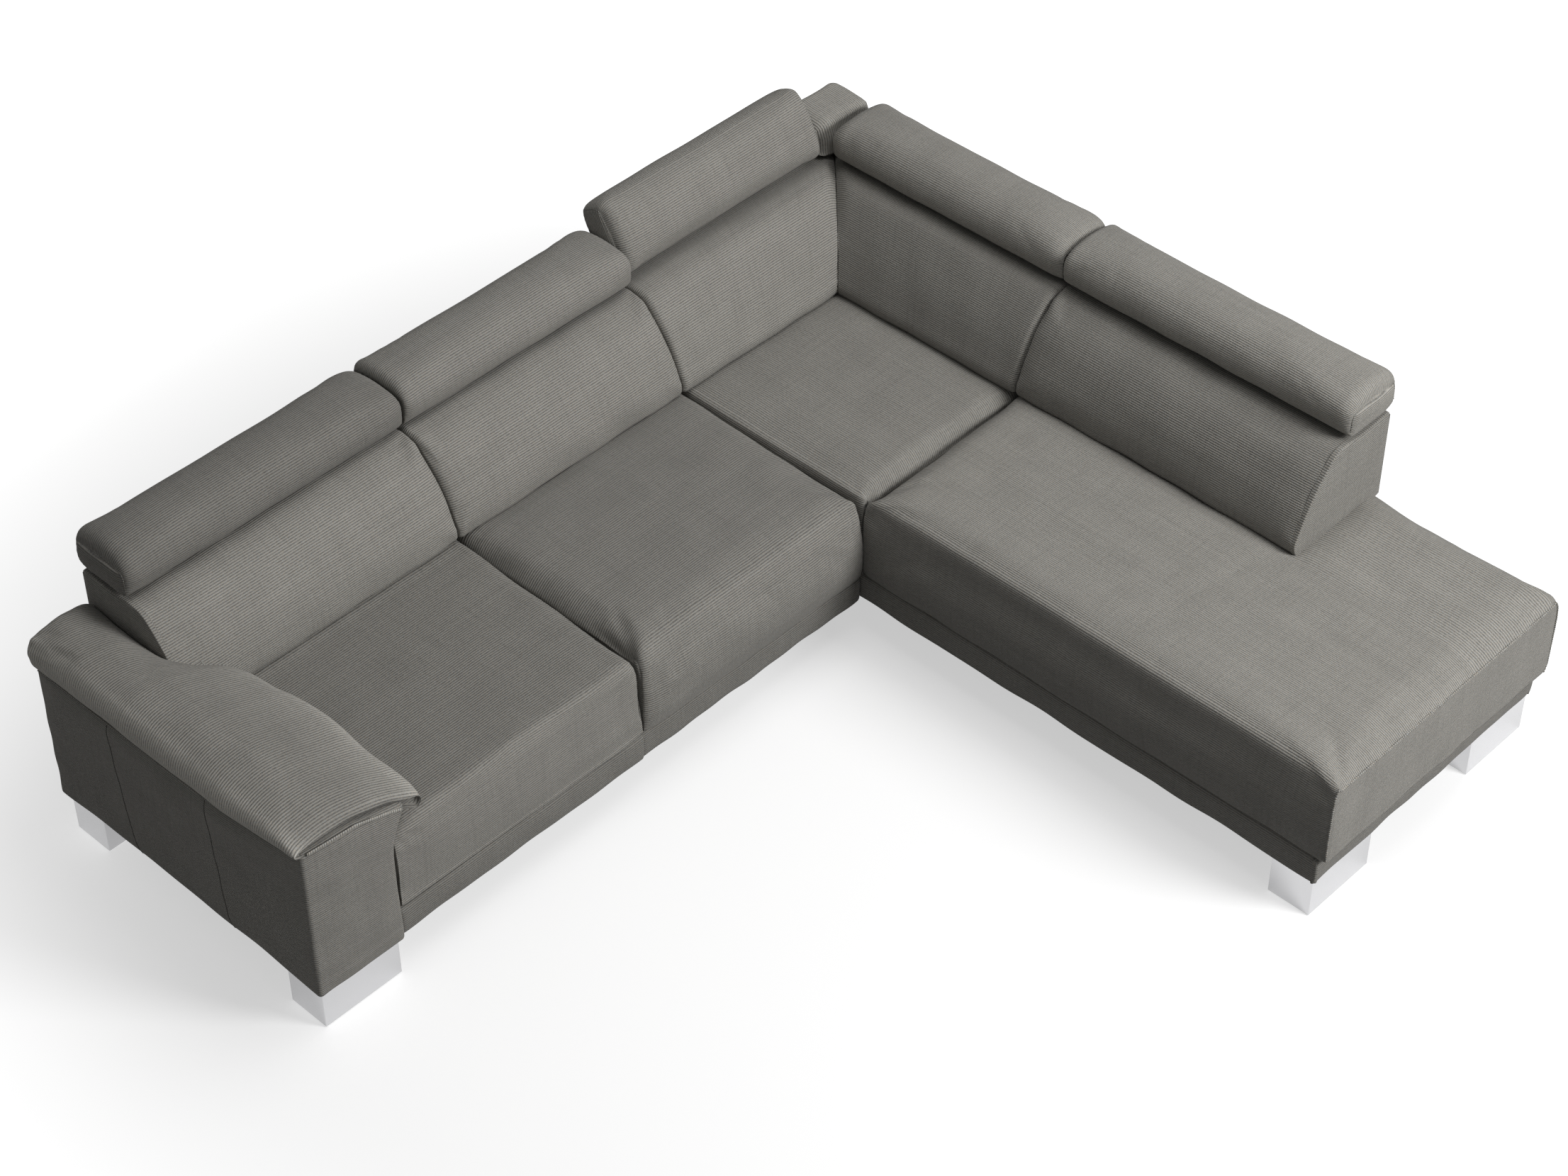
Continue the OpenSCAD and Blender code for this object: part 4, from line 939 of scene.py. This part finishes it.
def simulate():
    """Crowns all the soft blocks at once, then caps how far each vertex went."""
    live = [p for p in pillows if p.pins]
    for p in live:
        group = p.object.vertex_groups.new(name="held")
        group.add(np.flatnonzero(p.held()).tolist(), 1.0, "ADD")
        cloth = p.object.modifiers.new("cloth", "CLOTH")
        for key, value in CLOTH.items():
            setattr(cloth.settings, key, value)
        cloth.settings.effector_weights.gravity = 0
        cloth.collision_settings.use_collision = False
        cloth.point_cache.frame_start = 1
        cloth.point_cache.frame_end = CLOTH_FRAMES
    for number in range(1, CLOTH_FRAMES + 1):
        bpy.context.scene.frame_set(number)
    graph = bpy.context.evaluated_depsgraph_get()
    moved = [fetch(p.object.evaluated_get(graph).data.vertices, "co") for p in live]
    for p, co in zip(live, moved):
        p.object.modifiers.remove(p.object.modifiers["cloth"])
        step = co - p.rest
        size = np.maximum(np.linalg.norm(step, axis=1), 1e-9)[:, None]
        share = np.where(p.side == 4, CAP_SHARE, 1.0)[:, None]
        p.move(p.rest + step / size * share * p.cap * np.tanh(size / p.cap))
    bpy.context.scene.frame_set(1)


def within_swing(rest, local, hinge, axis):
    """Keeps a headrest's nose so near its hinge that it clears the back when it turns."""
    tall = local[:, 2] - hinge[2]
    deep = local[:, 1] - (REAR_X - hinge[0] if axis else REAR_Y - hinge[1])
    nose = (tall < 0) & (deep > -0.01)
    away = rest - hinge
    away[:, axis] = 0
    size = np.maximum(np.linalg.norm(away, axis=1), 1e-9)
    shorter = np.where(nose, np.minimum(size, HEAD_SWING), size) / size
    return rest + (shorter[:, None] - 1) * away


def refine(pillow):
    """Keeps the block between its walls, subdivides it once, and lays its small forms on."""
    piece = pillow.object
    rest = pillow.rest.copy()
    for axis, low, high in pillow.walls:
        rest[:, axis] = np.clip(rest[:, axis], low, high)
    if pillow.swing:
        rest = within_swing(rest, pillow.local, *pillow.swing)
    pillow.move(rest)
    mesh = piece.data
    kept = mesh.attributes.new("local", "FLOAT_VECTOR", "POINT")
    store(kept.data, "vector", pillow.local)
    if pillow.crease:
        pairs = fetch(mesh.edges, "vertices", 2, np.int32)
        sewn = sum(np.isin(pairs, seam).all(axis=1) for seam in pillow.seams) > 0
        crease = mesh.attributes.new("crease_edge", "FLOAT", "EDGE")
        store(crease.data, "value", sewn * pillow.crease)
    sub = piece.modifiers.new("fine", "SUBSURF")
    sub.levels = sub.render_levels = 1
    sub.uv_smooth = "NONE"
    graph = bpy.context.evaluated_depsgraph_get()
    mesh = bpy.data.meshes.new_from_object(piece.evaluated_get(graph))
    piece.modifiers.clear()
    piece.vertex_groups.clear()
    piece.data = mesh
    mesh.name = piece.name
    co, normal = fetch(mesh.vertices, "co"), fetch(mesh.vertices, "normal")
    local = fetch(mesh.attributes["local"].data, "vector")
    lift = unevenness(local, pillow.uneven, pillow.number)
    if pillow.relief:
        lift = lift + pillow.relief(local)
    store(mesh.vertices, "co", co + lift[:, None] * normal)
    mesh.attributes.remove(mesh.attributes["local"])
    weave = mesh.uv_layers["weave"].data
    store(weave, "uv", fetch(weave, "uv", 2) * (1, RIB_PITCH / pillow.pitch))
    mesh.update()
    finished(mesh, pillow.nap(local) if callable(pillow.nap) else pillow.nap)


# Materials

def new_material(name):
    material = bpy.data.materials.new(name)
    material.use_nodes = True
    return material, material.node_tree, material.node_tree.nodes["Principled BSDF"]


def fill(node, inputs):
    """Sets a node's inputs, each to a value or to another node's output."""
    for key, value in inputs.items():
        if isinstance(value, bpy.types.NodeSocket):
            node.id_data.links.new(value, node.inputs[key])
        else:
            node.inputs[key].default_value = value


def add(tree, kind, inputs=None, out=0, **settings):
    """Adds a node and gives one of its outputs."""
    node = tree.nodes.new("ShaderNode" + kind)
    for key, value in settings.items():
        setattr(node, key, value)
    fill(node, inputs or {})
    return node.outputs[out]


def calc(operation, *values, clamp=False):
    """A sum of numbers and outputs, beside the last of these."""
    tree = [v for v in values if isinstance(v, bpy.types.NodeSocket)][-1].id_data
    return add(tree, "Math", dict(enumerate(values)), operation=operation, use_clamp=clamp)


def mixed(tree, factor, a, b):
    """A colour between two others."""
    return add(tree, "Mix", {"Factor": factor, "A": (*a, 1), "B": (*b, 1)}, "Result",
               data_type="RGBA")


def ranged(value, low, high, start=0.25, stop=0.75, **settings):
    return add(value.id_data, "MapRange", {"Value": value, "From Min": start, "From Max": stop,
                                           "To Min": low, "To Max": high}, **settings)


def cord():
    """Fine-rib cord: light cords between grooves darkened with painted shade, crossed by faint
    slubs, and toned by each piece's painted light and shade. Its places run along the ribs and
    across them."""
    material, tree, shader = new_material("cord")
    weave = add(tree, "UVMap", uv_map="weave")

    def noise(x, y, detail=1.0):
        place = add(tree, "Mapping", {"Vector": weave, "Scale": (x, y, 1)})
        return add(tree, "TexNoise", {"Vector": place, "Scale": 1.0, "Detail": detail}, "Fac")

    def per_rib(x, count):
        return noise(x, count / RIB_PITCH)

    waver = calc("MULTIPLY", noise(9, 2.5, 2.0), 0.0014)
    across = calc("ADD", add(tree, "SeparateXYZ", {0: weave}, 1), waver)
    wave = calc("COSINE", calc("MULTIPLY", across, 2 * math.pi / RIB_PITCH))
    rib = calc("POWER", calc("MULTIPLY_ADD", wave, 0.5, 0.5), 0.65)
    fleck = per_rib(480, 3.0)
    # Painted shade in the grooves between the ribs, deeper in some places than in others
    depth = ranged(per_rib(140, 0.9), 0.55, 1.25)
    groove = calc("MULTIPLY", calc("SUBTRACT", 1.0, rib), depth)
    ribs_and_groove_shade = mixed(tree, calc("SUBTRACT", 1.0, groove, clamp=True), GROOVE_SHADE_COLOUR, RIB_COLOUR)
    yarn = mixed(tree, ranged(per_rib(330, 2.0), 0, 1, 0.35, 0.65), (1.05, 1.0, 0.94),
                 (0.95, 1.0, 1.05))
    slub = ranged(noise(120, 6, 2.0), 0.945, 1.02, 0.30, 0.55)
    streak = ranged(per_rib(1.6, 0.45), 0.95, 1.05)
    patch = ranged(noise(11, 9, 3.0), 0.955, 1.045)
    # Random flecks, slubs, streaks and patches, and each piece's painted light and shade from its
    # attribute
    tone = ranged(fleck, 0.80, 1.20)
    for factor in (slub, streak, patch, add(tree, "Attribute", out="Fac", attribute_name="nap")):
        tone = calc("MULTIPLY", tone, factor)
    yarn_tint_and_groove_shade = add(tree, "VectorMath", {0: ribs_and_groove_shade, 1: yarn}, operation="MULTIPLY")
    shade = add(tree, "VectorMath", {0: yarn_tint_and_groove_shade, "Scale": tone}, operation="SCALE")
    bump = add(tree, "Bump", {"Height": calc("MULTIPLY_ADD", fleck, 0.35, rib),
                              "Distance": 0.0012, "Strength": 0.8})
    fill(shader, {"Base Color": shade, "Normal": bump, "Roughness": 0.92,
                  "Specular IOR Level": 0.2, "Sheen Weight": 0.06, "Sheen Roughness": 0.5})
    return material


def grain(tree, shader, scale, stretch, bump_m, detail, distortion=0.0):
    """Noise fixed to the object and drawn out by stretch, with a bump from it."""
    place = add(tree, "Mapping", {"Vector": add(tree, "TexCoord", out="Object"), "Scale": stretch})
    noise = add(tree, "TexNoise", {"Vector": place, "Scale": scale, "Detail": detail,
                                   "Distortion": distortion}, "Fac")
    fill(shader, {"Normal": add(tree, "Bump", {"Height": noise, "Distance": bump_m})})
    return noise


def metal(name, colour, roughness, scale):
    """Metal with fine scratches along it."""
    material, tree, shader = new_material(name)
    scratches = grain(tree, shader, scale, (3, 3, 90), 0.00005, 3)
    fill(shader, {"Base Color": (*colour, 1), "Metallic": 1,
                  "Roughness": ranged(scratches, roughness * 0.7, roughness * 1.3, 0, 1)})
    return material


def grained(name, low, high, scale, stretch, roughness, bump_m):
    """A matt material with a stretched grain between two colours."""
    material, tree, shader = new_material(name)
    noise = grain(tree, shader, scale, stretch, bump_m, 5, 0.6)
    colour = add(tree, "ValToRGB", {"Fac": noise}, "Color")
    for element, position, shade in zip(colour.node.color_ramp.elements, (0.35, 0.68), (low, high)):
        element.position = position
        element.color = (*shade, 1)
    fill(shader, {"Base Color": colour, "Roughness": roughness})
    return material


def dress_nodes():
    """Gives each CAD node that stays its material."""
    plain = (1, 1, 1)
    groups = (
        (grained("pine", (0.52, 0.34, 0.17), (0.72, 0.52, 0.30), 9, (1, 1, 14), 0.6, 0.0003),
         "timber", "left_seat_frame right_seat_frame arm_frame left_back_frame right_back_frame",
         "_headrest_board"),
        (metal("zinc_plated_steel", (0.62, 0.62, 0.60), 0.32, 20), "zinc_steel",
         "left_springs right_springs foot_plates foot_screws frame_bolts left_headrest_brackets "
         "right_headrest_brackets hinge_pins", "_headrest_leaves"),
        (metal("polished_steel", (0.62, 0.62, 0.63), 0.16, 12), "chrome_steel",
         "arm_front_foot arm_rear_foot chaise_left_foot chaise_right_foot", None),
        (grained("black_plastic", (0.012, 0.012, 0.013), (0.022, 0.022, 0.023), 900, plain, 0.55,
                 0.0001), "black_plastic", "support_feet glides", None),
        (grained("grey_felt", (0.10, 0.10, 0.10), (0.22, 0.22, 0.21), 400, plain, 0.95, 0.0006),
         "felt", "left_spring_felt right_spring_felt", None),
        (grained("elastic_webbing", (0.20, 0.11, 0.05), (0.34, 0.20, 0.10), 300, (1, 1, 3), 0.9,
                 0.0005), "webbing", "left_back_webbing right_back_webbing", None),
        (grained("black_lining", (0.012, 0.012, 0.014), (0.035, 0.035, 0.038), 700, plain, 0.9,
                 0.0004), "lining", "left_dust_cover right_dust_cover", None))
    for material, slot, names, ending in groups:
        for name in names.split() + [head + ending for head in HEADRESTS if ending]:
            node = frame["nodes"][name]
            node.data.materials.clear()
            node.data.materials.append(material)
            if slot == "chrome_steel":
                bevel = node.modifiers.new("soft_edges", "BEVEL")
                bevel.width = 0.0008
                bevel.segments = 2


# Stage

def seen_directly(tree):
    """1 for camera, glossy and transmission rays."""
    path = add(tree, "LightPath").node
    rays = [path.outputs["Is %s Ray" % kind] for kind in ("Camera", "Glossy", "Transmission")]
    return calc("MAXIMUM", calc("MAXIMUM", *rays[:2]), rays[2])


def make_floor():
    """A white floor that keeps the shadow near the sofa and sends little light back up."""
    bpy.ops.mesh.primitive_plane_add(size=60)
    floor = bpy.context.object
    floor.name = "floor"
    material, tree, shader = new_material("floor")
    seen = seen_directly(tree)
    reach = add(tree, "VectorMath", {0: add(tree, "TexCoord", out="Object")}, "Value",
                operation="LENGTH")
    away = ranged(reach, 0.54, 1.0, 1.3, 3.0, interpolation_type="SMOOTHSTEP")
    fill(shader, {"Base Color": mixed(tree, seen, (0.20, 0.20, 0.20), (0.50, 0.50, 0.50)),
                  "Roughness": 0.8, "Specular IOR Level": 0.0, "Emission Color": (1, 1, 1, 1),
                  "Emission Strength": calc("MULTIPLY", seen, away)})
    floor.data.materials.append(material)


def make_lamp(name, place, aim, size, power):
    data = bpy.data.lights.new(name, "AREA")
    data.shape = "DISK"
    data.size = size
    data.energy = power
    lamp = bpy.data.objects.new(name, data)
    bpy.context.scene.collection.objects.link(lamp)
    lamp.location = place
    lamp.rotation_mode = "QUATERNION"
    lamp.rotation_quaternion = (Vector(aim) - Vector(place)).to_track_quat("-Z", "Y")


def make_stage():
    scene = bpy.context.scene
    make_floor()
    world = bpy.data.worlds.new("studio")
    scene.world = world
    world.use_nodes = True
    tree = world.node_tree
    fill(tree.nodes["Background"], {"Color": (1, 1, 1, 1),
                                    "Strength": ranged(seen_directly(tree), 0.20, 1.0, 0, 1)})
    make_lamp("key", (2.0, -5.2, 4.0), (0, -0.2, 0.4), 2.4, 362)
    make_lamp("top", (0.6, -0.4, 5.0), (0, 0, 0.3), 3.0, 70)

    data = bpy.data.cameras.new("camera")
    camera = bpy.data.objects.new("camera", data)
    scene.collection.objects.link(camera)
    data.sensor_width = SENSOR_MM
    data.lens = FOCAL_PX / IMAGE_W * SENSOR_MM
    camera.matrix_world = Matrix.Translation(CAMERA_PLACE)
    for degrees, axis in ((CAMERA_YAW - 90, "Z"), (90 - CAMERA_PITCH, "X"), (CAMERA_ROLL, "Z")):
        camera.matrix_world @= Matrix.Rotation(math.radians(degrees), 4, axis)
    data.clip_end = 100
    scene.camera = camera
    scene.view_settings.view_transform = "Standard"


# Making

make_stage()
make_seats()
make_chaise()
make_borders()
make_closings()
make_backs()
make_back_ends()
make_rear_covers()
make_headrests()
make_corner_block()
make_arm()
simulate()
for pillow in pillows:
    refine(pillow)
make_seam_cords()

fabric = cord()
for pillow in pillows:
    pillow.object.data.materials.clear()
    pillow.object.data.materials.append(fabric)
    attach(pillow.object, pillow.body)
    if pillow.node:
        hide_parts(pillow.node)
for piece, body, slot in trims:
    piece.data.materials.append(fabric)
    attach(piece, body)
dress_nodes()
